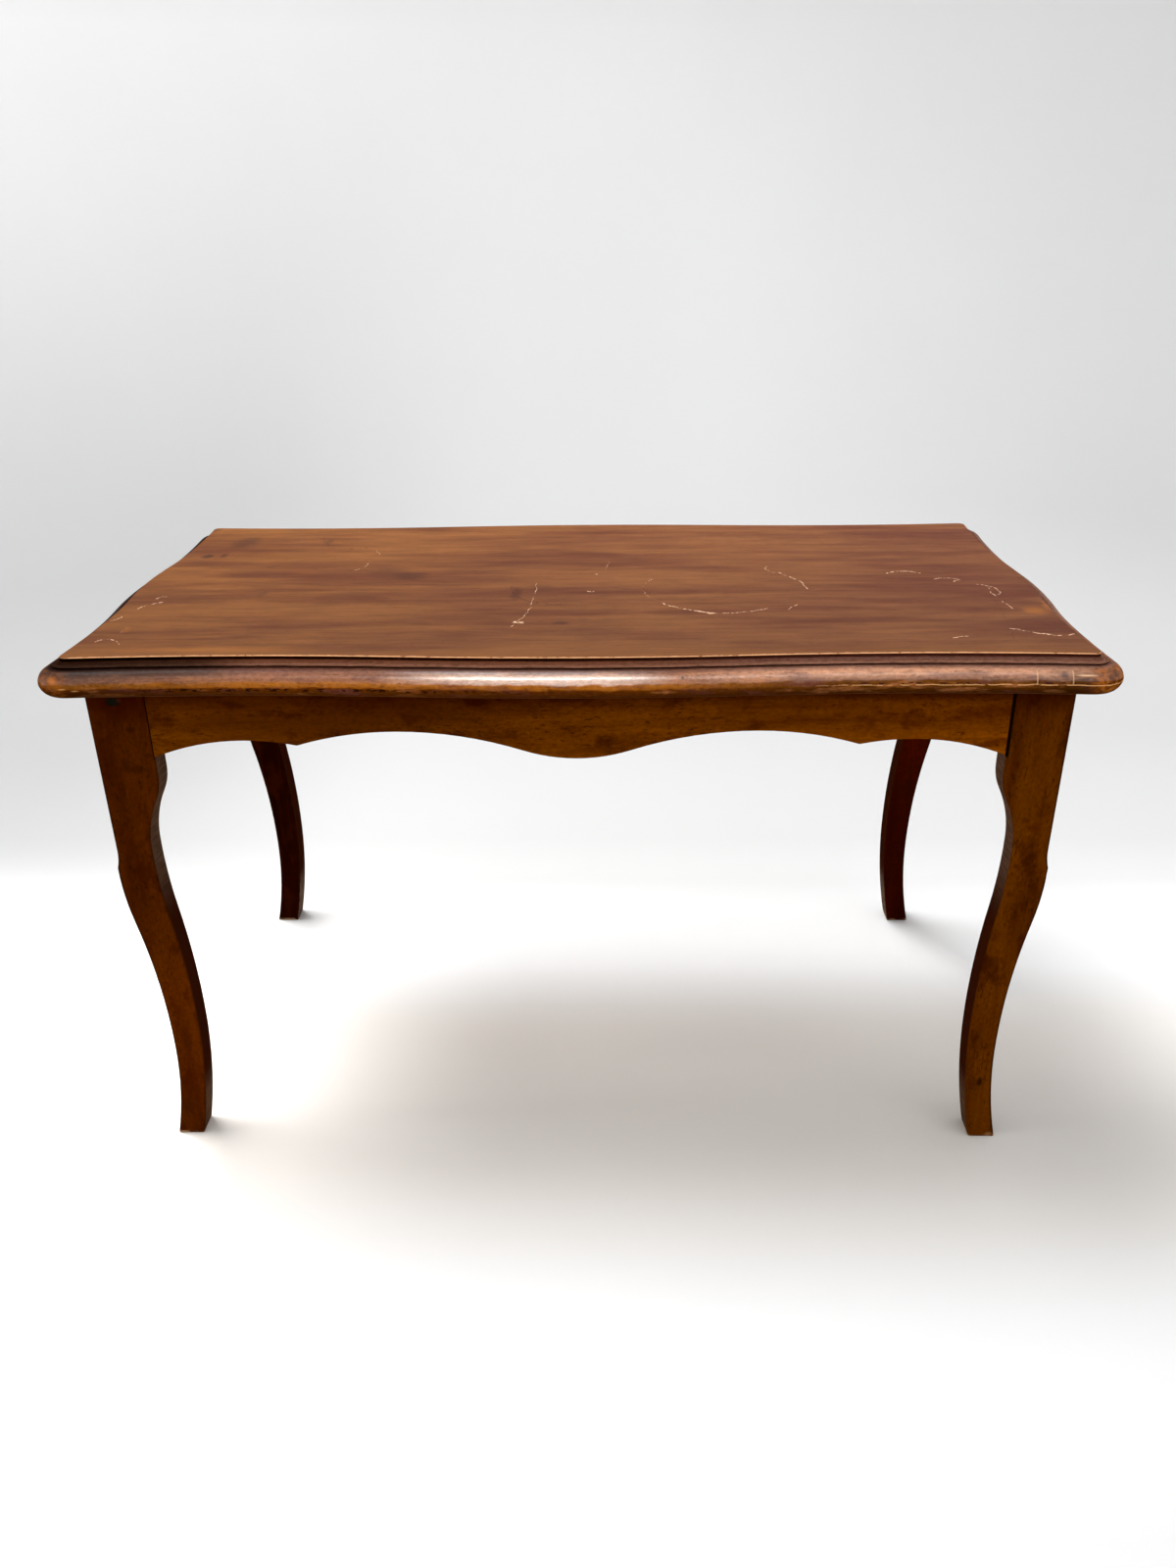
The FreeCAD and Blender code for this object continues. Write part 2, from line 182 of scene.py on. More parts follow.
world = bpy.data.worlds.new("soft_room")
bpy.context.scene.world = world
world.use_nodes = True
room = world.node_tree
direction = room.nodes.new("ShaderNodeTexCoord")
sides = room.nodes.new("ShaderNodeSeparateXYZ")
room.links.new(direction.outputs["Generated"], sides.inputs[0])
swing = room.nodes.new("ShaderNodeMath")
swing.operation = "MULTIPLY_ADD"
swing.inputs[1].default_value = ROOM_LIGHT * ROOM_SWING
swing.inputs[2].default_value = ROOM_LIGHT
room.links.new(sides.outputs["X"], swing.inputs[0])
room.links.new(swing.outputs[0], room.nodes["Background"].inputs["Strength"])
room.nodes["Background"].inputs["Color"].default_value = (0.975, 0.985, 1.0, 1)
bpy.context.scene.view_settings.view_transform = "Standard"


def softbox(name, place, aim, width, height, power):
    """A rectangular light that points from its place to aim and isn't seen itself."""
    light = bpy.data.lights.new(name, "AREA")
    light.shape = "RECTANGLE"
    light.size = width
    light.size_y = height
    light.energy = power
    made = bpy.data.objects.new(name, light)
    made.location = place
    made.rotation_mode = "QUATERNION"
    made.rotation_quaternion = (Vector(aim) - Vector(place)).to_track_quat("-Z", "Y")
    made.visible_camera = False
    bpy.context.scene.collection.objects.link(made)
    return made


def lights_only(light, name, objects):
    """Lets a light fall on these objects alone, as a flag or a snoot does in a studio."""
    lit = bpy.data.collections.new(name)
    for made in objects:
        lit.objects.link(made)
    light.light_linking.receiver_collection = lit
    return lit


OVERHEAD = (-2.4, 1.6, 6.7)
FRONT = (0, -1.5, 1.3)
HIGH_FRONT = (0, -0.95, 1.9)
LOW_LEFT = (-2.1, -0.34, 0.5)
boards = [node for name, node in nodes.items() if name.startswith("top_board")]
frame_pieces = [node for node in nodes.values() if node not in boards]

lights_only(softbox("light_on_floor", OVERHEAD, (0, -0.2, 0), 4.6, 3.8, 1090), "lit_floor", [studio])
light_on_room = softbox("light_on_room", (0, 0, 5), (0, 0, 0), 5.0, 5.0, 39)
light_on_room.light_linking.blocker_collection = lights_only(light_on_room, "lit_room", [studio])
lights_only(softbox("light_overhead", OVERHEAD, (0, 0, 0.3), 3.0, 3.0, 98), "lit_above", nodes.values())
lights_only(softbox("light_on_frame", FRONT, (0, -0.2, 0.3), 0.6, 1.7, 5), "lit_frame", frame_pieces)
light_on_nose = softbox("light_on_nose", HIGH_FRONT, (0, -0.23, 0.47), 1.6, 0.36, 21)
light_on_nose.data.color = (1.0, 0.965, 0.91)
lights_only(light_on_nose, "lit_boards", boards)
softbox("light_left", LOW_LEFT, (0, 0, 0.1), 0.14, 0.14, 4)

# %% [markdown]
# ## Writing a material
# A material is a chain of small sums. These helpers add one node at a time and join its
# sockets, so that each finish below reads like a recipe.

# %% Node helpers
def feed(tree, socket, value):
    """Joins an output to a socket, or writes a plain value into it."""
    if isinstance(value, bpy.types.NodeSocket):
        tree.links.new(value, socket)
    elif value is not None:
        socket.default_value = value


def add(tree, kind, inputs=None, **settings):
    """A new node with its settings made and its inputs fed, by name or number."""
    made = tree.nodes.new("ShaderNode" + kind)
    for name, value in settings.items():
        setattr(made, name, value)
    for name, value in (inputs or {}).items():
        feed(tree, made.inputs[name], value)
    return made


def maths(tree, operation, first, second=None, third=None, clamp=False):
    inputs = {index: value for index, value in enumerate((first, second, third)) if value is not None}
    return add(tree, "Math", inputs, operation=operation, use_clamp=clamp).outputs[0]


def times(tree, first, second, clamp=False):
    return maths(tree, "MULTIPLY", first, second, clamp=clamp)


def vectors(tree, operation, first, second=None, output="Vector"):
    inputs = {index: value for index, value in enumerate((first, second)) if value is not None}
    return add(tree, "VectorMath", inputs, operation=operation).outputs[output]


def between(tree, value, low, high, smooth=True):
    """0 below low, 1 above high, and a soft step between; low may be the larger one."""
    kind = "SMOOTHSTEP" if smooth else "LINEAR"
    inputs = {"Value": value, "From Min": low, "From Max": high}
    return add(tree, "MapRange", inputs, interpolation_type=kind).outputs["Result"]


def within(tree, value, start, full, fade, end):
    """1 from full to fade, 0 before start and after end, and soft steps between."""
    return times(tree, between(tree, value, start, full), between(tree, value, end, fade))


def ranged(tree, share, low, high):
    """A number that goes from low to high while a share goes from 0 to 1."""
    return maths(tree, "MULTIPLY_ADD", share, high - low, low)


def tint(tree, share, below, above, blend="MIX"):
    """Two colours mixed by a share."""
    made = add(tree, "Mix", data_type="RGBA", blend_type=blend)
    feed(tree, made.inputs["Factor"], share)
    feed(tree, made.inputs["A"], below)
    feed(tree, made.inputs["B"], above)
    return made.outputs["Result"]


def scaled(tree, shade, share):
    """A colour made lighter or darker by a share."""
    return add(tree, "VectorMath", {0: shade, "Scale": share}, operation="SCALE").outputs["Vector"]


def split(tree, vector):
    return add(tree, "SeparateXYZ", {0: vector}).outputs


def noise(tree, vector, scale, detail=3.0, roughness=0.5, distortion=0.0):
    inputs = {"Vector": vector, "Scale": scale, "Detail": detail}
    inputs.update(Roughness=roughness, Distortion=distortion)
    return add(tree, "TexNoise", inputs).outputs["Fac"]


def long_noise(tree, vector, scales, detail=3.0, roughness=0.5):
    """Noise with a scale of its own along X, Y and Z."""
    return noise(tree, vectors(tree, "MULTIPLY", vector, scales), 1.0, detail, roughness)


def shaken(tree, vector, scale, detail, reach):
    """Coordinates pushed about by a noise, so that what is drawn with them has a ragged edge."""
    push = add(tree, "TexNoise", {"Vector": vector, "Scale": scale, "Detail": detail}).outputs["Color"]
    push = vectors(tree, "SUBTRACT", push, (0.5, 0.5, 0.5))
    return vectors(tree, "ADD", vector, vectors(tree, "MULTIPLY", push, reach))


def colour_ramp(tree, share, rows):
    """Colours read by a share from 0 to 1, given as rows of place and colour."""
    ramp = add(tree, "ValToRGB", {"Fac": share})
    stops = ramp.color_ramp.elements
    while len(stops) < len(rows):
        stops.new(1.0)
    for stop, (place, shade) in zip(stops, rows):
        stop.position = place
        stop.color = shade
    return ramp.outputs["Color"]


def new_material(name):
    """A material with its tree, its shader and the coordinates of the object that wears it."""
    material = bpy.data.materials.new(name)
    material.use_nodes = True
    tree = material.node_tree
    place = add(tree, "TexCoord").outputs["Object"]
    return material, tree, tree.nodes["Principled BSDF"], place


def new_group(name, inputs, outputs):
    """An empty shader group with sockets given as name and kind."""
    tree = bpy.data.node_groups.new(name, "ShaderNodeTree")
    for way, sockets in (("INPUT", inputs), ("OUTPUT", outputs)):
        for socket_name, kind in sockets:
            tree.interface.new_socket(socket_name, in_out=way, socket_type="NodeSocket" + kind)
    inside = tree.nodes.new("NodeGroupInput").outputs
    outside = tree.nodes.new("NodeGroupOutput").inputs
    return tree, inside, outside


def use_group(tree, group, inputs):
    made = tree.nodes.new("ShaderNodeGroup")
    made.node_tree = group
    for name, value in inputs.items():
        feed(tree, made.inputs[name], value)
    return made.outputs


def colour(red, green, blue):
    """A colour as it looks on a screen, from 0 to 255, in the linear values that a shader needs."""
    linear = []
    for value in (red, green, blue):
        share = value / 255
        linear.append(share / 12.92 if share <= 0.04045 else ((share + 0.055) / 1.055) ** 2.4)
    return (*linear, 1.0)


def marked(tree, shade, mask, strength, tone):
    """A colour with a screen colour laid over it where the mask is 1, as strong as given."""
    return tint(tree, times(tree, mask, strength), shade, colour(*tone))


def raised(tree, shader, height, strength, distance=0.0003):
    """Fine relief from a height that changes over the surface; gives the normal back."""
    bump = add(tree, "Bump", {"Strength": strength, "Distance": distance, "Height": height})
    feed(tree, shader.inputs["Normal"], bump.outputs["Normal"])
    return bump.outputs["Normal"]


# %% [markdown]
# ## Floor colour with painted light and shade
# The floor of the photograph is plain and white, and unevenly bright: most just in front of
# the table, less up the wall, and different at the left and at the right. Lights alone can't
# do this without lighting the table wrongly, so this light and shade is painted into the
# floor's colour, which is a little darker in places. A ramp along Y holds the main painted
# fade, broad soft areas change its level, and one of them is a painted shadow of the table at
# the right front. Under and in front of the table the floor is tinted warmer, a painted bounce
# of light from the wood. A very faint cloud keeps the floor from looking computed. SEEN_WIDTH
# and LOWEST_LEVEL hold the level steady beyond what the photograph shows, so that the room
# stays pale from every side. A camera below the floor looks through it, so that the table can
# be seen from beneath.

# %% Floor material
FLOOR_FADE = (
    (-0.6, 0.66),
    (-0.25, 0.885),
    (-0.1, 1.11),
    (0.0, 1.16),
    (0.08, 1.17),
    (0.18, 0.86),
    (0.28, 0.63),
    (0.4, 0.565),
    (0.8, 0.51),
    (2.5, 0.51),
)
FADE_START = -0.6
FADE_END = 2.6
SEEN_WIDTH = 1.75
LOWEST_LEVEL = 0.55
# painted warm bounce light from the wood, laid on the floor under and in front of the table
WARM_BOUNCE_TINT = (1.035, 0.987, 0.932, 1)


def painted_floor_light(tree, parts):
    """Painted light and shade of the floor: how bright each place is for its distance, from left to right,
    up the wall and by broad areas.
    """
    height = between(tree, parts["Z"], 0.1, 1.2, smooth=False)
    wall = between(tree, parts["Z"], 0.0, 0.2)
    slope = maths(tree, "MULTIPLY_ADD", between(tree, parts["Y"], -0.05, -0.35), -0.2, -0.05)
    slope = maths(tree, "MULTIPLY_ADD", height, -0.2, slope)
    slope = times(tree, slope, between(tree, parts["Y"], -1.2, -0.7))
    across = maths(tree, "MINIMUM", maths(tree, "MAXIMUM", parts["X"], -SEEN_WIDTH), SEEN_WIDTH)
    level = maths(tree, "MULTIPLY_ADD", maths(tree, "SUBTRACT", across, 0.06), slope, 1.0)
    # painted shade: darker on the right wall, at the back left and in a band at the left
    right_wall = times(tree, between(tree, parts["X"], 0.2, 1.2), maths(tree, "SUBTRACT", wall, height))
    left_back = times(tree, between(tree, parts["X"], -0.2, -0.9), between(tree, parts["Y"], 0.1, 0.4))
    left_back = times(tree, left_back, maths(tree, "SUBTRACT", 1.0, height))
    left_band = within(tree, parts["Y"], 0.2, 0.35, 0.6, 1.0)
    left_band = times(tree, left_band, between(tree, parts["X"], -0.3, -0.7))
    # painted shadow of the table, reaching further to the right front
    right_painted_shadow = within(tree, parts["Y"], -0.45, -0.2, 0.05, 0.25)
    right_painted_shadow = times(tree, right_painted_shadow, between(tree, parts["X"], 0.3, 0.7))
    for area, change in ((right_wall, -0.15), (left_back, -0.2), (left_band, -0.08), (right_painted_shadow, -0.25)):
        level = maths(tree, "MULTIPLY_ADD", area, change, level)
    level = maths(tree, "MAXIMUM", level, LOWEST_LEVEL)
    # painted light: the wall is brighter higher up
    return times(tree, level, ranged(tree, height, 1.0, 1.6))


def floor_material():
    material, tree, shader, place = new_material("studio_white")
    cloud = noise(tree, place, 1.3, 2.0)
    shade = tint(tree, cloud, (0.60, 0.60, 0.60, 1), (0.64, 0.64, 0.64, 1))
    parts = split(tree, place)
    away = between(tree, parts["Y"], FADE_START, FADE_END, smooth=False)
    rows = [
        ((distance - FADE_START) / (FADE_END - FADE_START), (share, share, share, 1))
        for distance, share in FLOOR_FADE
    ]
    fade = colour_ramp(tree, away, rows)
    shade = tint(tree, 1.0, shade, fade, "MULTIPLY")
    # where the painted warm bounce light lies
    near = within(tree, parts["Y"], -0.42, -0.25, -0.05, 0.08)
    near = times(tree, near, between(tree, parts["X"], 0.9, 0.45))
    shade = tint(tree, near, shade, tint(tree, 1.0, shade, WARM_BOUNCE_TINT, "MULTIPLY"))
    feed(tree, shader.inputs["Base Color"], scaled(tree, shade, painted_floor_light(tree, parts)))
    shader.inputs["Roughness"].default_value = 0.9
    shader.inputs["Specular IOR Level"].default_value = 0.1
    clear = add(tree, "BsdfTransparent").outputs["BSDF"]
    behind = add(tree, "NewGeometry").outputs["Backfacing"]
    behind = times(tree, behind, add(tree, "LightPath").outputs["Is Camera Ray"])
    one_way = add(tree, "MixShader", {0: behind, 1: shader.outputs["BSDF"], 2: clear})
    feed(tree, tree.nodes["Material Output"].inputs["Surface"], one_way.outputs[0])
    return material


studio.data.materials.append(floor_material())
print("floor fade stops", len(FLOOR_FADE))

# %% [markdown]
# ## Wood grain
# Wood is a bundle of fibres, so every mark on it is long one way and narrow the other two.
# Noise that is stretched along the fibres is read at several sizes: broad bands where the
# stain took more or less, a ripple, fine streaks, short thin pores, larger dark flecks, small
# specks in clusters, and a grit that is nearly the same both ways. The group reads X as the
# way of the grain, so the material of an upright piece turns its coordinates first.

# %% Grain group
GRAIN_PATTERNS = ("Bands", "Streaks", "Ripple", "Grit", "Pores", "Flecks", "Specks")


def grain_group():
    outputs = [(name, "Float") for name in GRAIN_PATTERNS]
    tree, inside, outside = new_group("wood_grain", [("Vector", "Vector")], outputs)
    place = shaken(tree, inside["Vector"], 4.0, 2.0, (0.02, 0.014, 0.014))

    def stretched(along, across):
        return vectors(tree, "MULTIPLY", place, (along, across, across))

    wide = noise(tree, stretched(4.5, 18.0), 1.0, 3.0, 0.55, 0.3)
    narrow = noise(tree, stretched(4.0, 60.0), 1.0, 3.0, 0.6)
    specks = between(tree, noise(tree, stretched(170.0, 520.0), 1.0, 3.0, 0.7), 0.56, 0.66)
    clusters = between(tree, noise(tree, stretched(16.0, 30.0), 1.0, 2.0), 0.40, 0.56)
    results = {
        "Bands": maths(tree, "MULTIPLY_ADD", wide, 0.65, times(tree, narrow, 0.35)),
        "Specks": times(tree, specks, clusters),
        "Streaks": noise(tree, stretched(14.0, 330.0), 1.0, 5.0, 0.65),
        "Ripple": noise(tree, stretched(26.0, 105.0), 1.0, 4.0, 0.7),
        "Grit": noise(tree, stretched(230.0, 400.0), 1.0, 2.0, 0.7),
        "Pores": between(tree, noise(tree, stretched(110.0, 1400.0), 1.0, 1.0), 0.62, 0.72),
        "Flecks": between(tree, noise(tree, stretched(75.0, 250.0), 1.0, 4.0, 0.7), 0.60, 0.70),
    }
    for name, value in results.items():
        feed(tree, outside[name], value)
    return tree


wood_grain = grain_group()
print("grain group nodes", len(wood_grain.nodes))

# %% [markdown]
# ## Marks of use
# A scratch is a short piece of a circle, however straight it looks. Three pixels of the
# photograph give its circle. The group draws a thin ring round the centre, keeps only the
# part that faces the middle pixel, and breaks it into dots and gaps with noise, since a
# scratch skips. The lens spreads a thin mark, so each is drawn at DRAWN_WIDTH of the width
# that the photograph shows.
# A smudge, a knot or a worn patch is a soft ball of colour that the surface cuts through.

# %% Scratch and spot groups
def scratch_group():
    tree, inside, outside = new_group(
        "curved_scratch",
        [
            ("Vector", "Vector"),
            ("Centre", "Vector"),
            ("Radius", "Float"),
            ("Facing", "Vector"),
            ("Reach", "Float"),
            ("Width", "Float"),
        ],
        [("Mask", "Float")],
    )
    away = vectors(tree, "SUBTRACT", inside["Vector"], inside["Centre"])
    away = vectors(tree, "MULTIPLY", away, (1, 1, 0))
    off_ring = maths(tree, "SUBTRACT", vectors(tree, "LENGTH", away, output="Value"), inside["Radius"])
    core = times(tree, inside["Width"], 0.3)
    ring = between(tree, maths(tree, "ABSOLUTE", off_ring), inside["Width"], core)
    toward = vectors(tree, "NORMALIZE", away)
    facing = vectors(tree, "DOT_PRODUCT", toward, inside["Facing"], output="Value")
    part = maths(tree, "GREATER_THAN", facing, inside["Reach"])
    dots = between(tree, noise(tree, inside["Vector"], 430.0, 2.0), 0.42, 0.54)
    gaps = between(tree, noise(tree, inside["Vector"], 95.0, 2.0), 0.36, 0.50)
    mask = times(tree, times(tree, ring, part), times(tree, dots, gaps))
    feed(tree, outside["Mask"], mask)
    return tree


def spot_group():
    tree, inside, outside = new_group(
        "soft_spot",
        [("Vector", "Vector"), ("Centre", "Vector"), ("Size", "Vector"), ("Edge", "Float")],
        [("Mask", "Float")],
    )
    away = vectors(tree, "SUBTRACT", inside["Vector"], inside["Centre"])
    away = vectors(tree, "DIVIDE", away, inside["Size"])
    length = vectors(tree, "LENGTH", away, output="Value")
    feed(tree, outside["Mask"], between(tree, length, 1.0, inside["Edge"]))
    return tree


curved_scratch = scratch_group()
soft_spot = spot_group()


def arc_through(pixels):
    """Centre, radius, facing and reach of the circle through three pixels on the top."""
    first, middle, last = (on_level(pixel, top_z).to_2d() for pixel in pixels)
    side, other = middle - first, last - first
    cross = 2 * (side.x * other.y - side.y * other.x)
    if abs(cross) < 1e-7:
        cross = 1e-7
    centre = first + Vector(
        (
            (other.y * side.length_squared - side.y * other.length_squared) / cross,
            (side.x * other.length_squared - other.x * side.length_squared) / cross,
        )
    )
    facing = ((first + last) / 2 - centre).normalized()
    if facing.dot(middle - centre) < 0:
        facing = -facing
    reach = facing.dot((first - centre).normalized())
    return centre, (first - centre).length, facing, reach


DRAWN_WIDTH = 0.62


def draw_scratch(tree, place, pixels, width):
    """The mask of one scratch on the top, its half width given in pixels of the photograph."""
    centre, radius, facing, reach = arc_through(pixels)
    first, last = on_level(pixels[0], top_z), on_level(pixels[2], top_z)
    corner = Vector(seen_at(first))
    aside = Vector(seen_at(first + Vector((MM, 0, 0)))) - corner
    beyond = Vector(seen_at(first + Vector((0, MM, 0)))) - corner
    pixel_area = abs(aside.cross(beyond))
    along = (Vector(pixels[2]) - Vector(pixels[0])).length / ((last - first).length / MM)
    inputs = {
        "Vector": place,
        "Centre": (*centre, 0),
        "Radius": radius,
        "Facing": (*facing, 0),
        "Reach": reach,
        "Width": DRAWN_WIDTH * width * along / pixel_area * MM,
    }
    return use_group(tree, curved_scratch, inputs)["Mask"]


def draw_spot(tree, place, centre, size, edge=0.3):
    inputs = {"Vector": place, "Centre": centre, "Size": size, "Edge": edge}
    return use_group(tree, soft_spot, inputs)["Mask"]


def spot_on_top(tree, place, pixel, half_pixels, edge=0.2):
    """A soft spot on the top, its place and half size given in pixels of the photograph."""
    centre = on_level(pixel, top_z)
    right = on_level((pixel[0] + half_pixels[0], pixel[1]), top_z)
    near = on_level((pixel[0], pixel[1] + half_pixels[1]), top_z)
    return draw_spot(tree, place, centre, ((right - centre).length, (near - centre).length, 0.02), edge)


def spot_on_front(tree, place, pixel, half_pixels, depth, edge=0.3):
    """The same on an upright face at a depth along +Y."""
    centre = on_front(pixel, depth)
    right = on_front((pixel[0] + half_pixels[0], pixel[1]), depth)
    low = on_front((pixel[0], pixel[1] + half_pixels[1]), depth)
    return draw_spot(tree, place, centre, ((right - centre).length, 0.02, (low - centre).length), edge)


print("top's front middle at", [round(value, 3) for value in on_level((600, 663), top_z)])

# %% [markdown]
# ## How far from the front edge
# The front edge is a serpentine: a bow in the middle, a hollow at each side of it and a turn
# outward to the corners. It was drawn as parabolas, so the distance of a point behind it can
# be worked out again from X alone. Worn paths and chips follow that distance.

# %% Front edge group
CREST = 0.2195
HOLLOW = 0.2110
HOLLOW_PLACE = 0.2694
CORNER_DEPTH = 0.2160
HALF_LENGTH = 0.4082


def front_edge_group():
    tree, inside, outside = new_group("behind_front_edge", [("Vector", "Vector")], [("Distance", "Float")])
    parts = split(tree, inside["Vector"])
    share = maths(tree, "DIVIDE", maths(tree, "ABSOLUTE", parts["X"]), HOLLOW_PLACE)
    rise = CREST - HOLLOW
    bow = maths(tree, "MULTIPLY_ADD", times(tree, share, share), -2 * rise, CREST)
    back = maths(tree, "SUBTRACT", 1.0, share)
    sway = maths(tree, "MULTIPLY_ADD", times(tree, back, back), 2 * rise, HOLLOW)
    turn_out = (CORNER_DEPTH - HOLLOW) / (HALF_LENGTH / HOLLOW_PLACE - 1) ** 2
    end = maths(tree, "MULTIPLY_ADD", times(tree, back, back), turn_out, HOLLOW)
    near = maths(tree, "LESS_THAN", share, 0.5)
    far = maths(tree, "GREATER_THAN", share, 1.0)
    reach = add(tree, "Mix", {"Factor": near, "A": sway, "B": bow}).outputs["Result"]
    reach = add(tree, "Mix", {"Factor": far, "A": reach, "B": end}).outputs["Result"]
    feed(tree, outside["Distance"], maths(tree, "ADD", parts["Y"], reach))
    return tree


front_edge = front_edge_group()
print("front edge group nodes", len(front_edge.nodes))

# %% [markdown]
# ## The stained top
# The boards are a pale wood stained reddish brown under a thin varnish. The stain is yellower
# at the left and more purple at the right, and lies in soft bands along the grain. A picture
# could be wrapped over such a top, but a finish worked out from the place of each point also
# covers the edges, and has no seams. The helper gathers what every part of this finish reads:
# the place, the depth below the top, how far behind the front edge, the grain, and the way
# that a face looks. Places are in metres, and depths and distances from the edge in
# millimetres. The names are short, since they come back on every line.

# %% What the top's finish reads
def top_readings(tree, place):
    parts = split(tree, place)
    facing = split(tree, add(tree, "NewGeometry").outputs["Normal"])
    grain = use_group(tree, wood_grain, {"Vector": place})
    edge = use_group(tree, front_edge, {"Vector": place})["Distance"]
    depth = maths(tree, "DIVIDE", maths(tree, "SUBTRACT", top_z, parts["Z"]), MM)
    swell = maths(tree, "SUBTRACT", long_noise(tree, place, (60.0, 60.0, 220.0)), 0.5)
    return SimpleNamespace(
        place=place,
        x=parts["X"],
        y=parts["Y"],
        depth=depth,
        uneven=maths(tree, "MULTIPLY_ADD", swell, 0.5, depth),
        lower_uneven=maths(tree, "MULTIPLY_ADD", swell, 5.0, depth),
        edge=maths(tree, "DIVIDE", edge, MM),
        looks_right=facing["X"],
        looks_back=facing["Y"],
        looks_up=facing["Z"],
        grain=grain,
        bands=between(tree, grain["Bands"], 0.36, 0.62),
        streaks=between(tree, grain["Streaks"], 0.45, 0.75),
        grit=between(tree, grain["Grit"], 0.3, 0.7, smooth=False),
        on_nose=within(tree, depth, 7.6, 9.0, 24.0, 30.0),
        middle=within(tree, parts["X"], -0.18, -0.05, 0.01, 0.10),
    )


# %% Flat top
def flat_shade(tree, at):
    """The stain of the flat top, lighter toward the back and warmer near the front edge."""
    along = between(tree, at.x, -0.40, 0.40, smooth=False)
    light = tint(tree, along, colour(129, 80, 38), colour(123, 78, 49))
    dark = tint(tree, along, colour(98, 53, 27), colour(95, 52, 37))
    shade = tint(tree, at.bands, dark, light)
    shade = marked(tree, shade, at.streaks, 0.45, (84, 40, 22))
    shade = marked(tree, shade, at.grain["Pores"], 0.35, (58, 24, 14))
    ripple = between(tree, at.grain["Ripple"], 0.3, 0.7, smooth=False)
    shade = scaled(tree, shade, ranged(tree, ripple, 0.86, 1.16))
    shade = marked(tree, shade, between(tree, at.edge, 26.0, 6.0), 0.3, (132, 84, 42))
    toward_back = between(tree, at.y, -0.20, 0.20, smooth=False)
    return scaled(tree, shade, ranged(tree, toward_back, 0.74, 1.16))


# %% [markdown]
# ## Scratches, smudges and worn patches
# These are the marks that a viewer looks for first, so each one stands where the photograph
# shows it. A scratch is named by three pixels and its half width, a smudge or a patch by its
# middle pixel, its half size and its strength. Each group of marks is laid over the one before.

# %% Scratches
PALE_SCRATCHES = (
    (((141, 622), (156, 616), (175, 614)), 0.56),
    (((160, 611), (166, 609), (172, 609)), 0.56),
    (((112, 634), (118, 632), (124, 629)), 0.5),
    (((123, 646), (127, 642), (131, 640)), 0.81),
    (((97, 655), (110, 652), (116, 654)), 0.56),
    (((116, 653), (119, 654), (121, 658)), 0.56),
    (((361, 582), (368, 580), (376, 572)), 0.5),
    (((382, 561), (386, 564), (389, 567)), 0.43),
    (((541, 617), (546, 606), (548, 595)), 0.56),
    (((520, 640), (528, 634), (543, 619)), 0.62),
    (((524, 634.6), (529, 635), (534, 635.2)), 2.4),
    (((593, 586), (602, 585.5), (611, 586)), 0.62),
    (((599, 603), (603, 603.5), (608, 603)), 0.74),
    (((618, 582), (620, 577), (621, 572)), 0.43),
    (((667, 590), (656, 598), (672, 613)), 0.5),
    (((675, 615), (701, 622), (733, 626)), 0.81),
    (((722, 626), (758, 624.5), (784, 621)), 0.62),
    (((784, 577), (782, 581), (795, 585)), 0.43),
    (((793, 584), (810, 590), (824, 601)), 0.68),
    (((805, 622), (811, 618), (814, 617)), 0.56),
    (((904, 585), (920, 583), (939, 585)), 0.62),
    (((952, 591), (968, 590), (981, 591)), 0.56),
    (((974, 594), (977, 592), (983, 592)), 0.74),
    (((992, 596), (1008, 598), (1017, 607)), 0.62),
    (((1009, 600), (1013, 606), (1018, 609)), 0.62),
    (((1022, 613), (1028, 617), (1035, 622)), 0.56),
    (((1031, 641), (1060, 646), (1076, 648)), 0.74),
    (((1070, 647.5), (1084, 648), (1097, 646.5)), 0.74),
    (((972, 651), (980, 650), (988, 649)), 0.5),
)
DARK_SCRATCHES = (
    (((331, 549), (333, 555), (341, 559)), 0.74),
    (((357, 560), (366, 560), (376, 559)), 0.87),
    (((270, 579), (277, 578), (286, 577)), 1.1),
    (((1009, 607), (1028, 634), (1034, 652)), 0.5),
    (((524, 597), (534, 612), (548, 616)), 1.4),
    (((540, 614), (561, 616), (580, 617)), 0.87),
    (((656, 598), (664, 606), (676, 613)), 0.62),
)
print("pale scratches", len(PALE_SCRATCHES), "dark scratches", len(DARK_SCRATCHES))

# %% Smudges and worn patches
SMUDGES = (
    ((251, 554), (20, 8), 0.5),
    ((210, 568), (8, 3), 0.75),
    ((227, 567), (6, 3), 0.55),
    ((215, 541), (14, 4), 0.45),
    ((419, 588), (24, 6), 0.5),
    ((395, 584), (30, 8), 0.25),
    ((527, 606), (9, 10), 0.5),
    ((555, 600), (14, 6), 0.25),
    ((571, 636), (10, 2.5), 0.6),
    ((600, 645), (60, 10), 0.22),
    ((268, 606), (8, 4), 0.25),
    ((335, 553), (7, 4), 0.4),
)
WORN_PATCHES = (
    ((1056, 623), (18, 5), 0.35),
    ((1068, 618), (8, 7), 0.3),
    ((205, 663), (140, 4), 0.22),
    ((128, 643), (6, 4), 0.15),
)


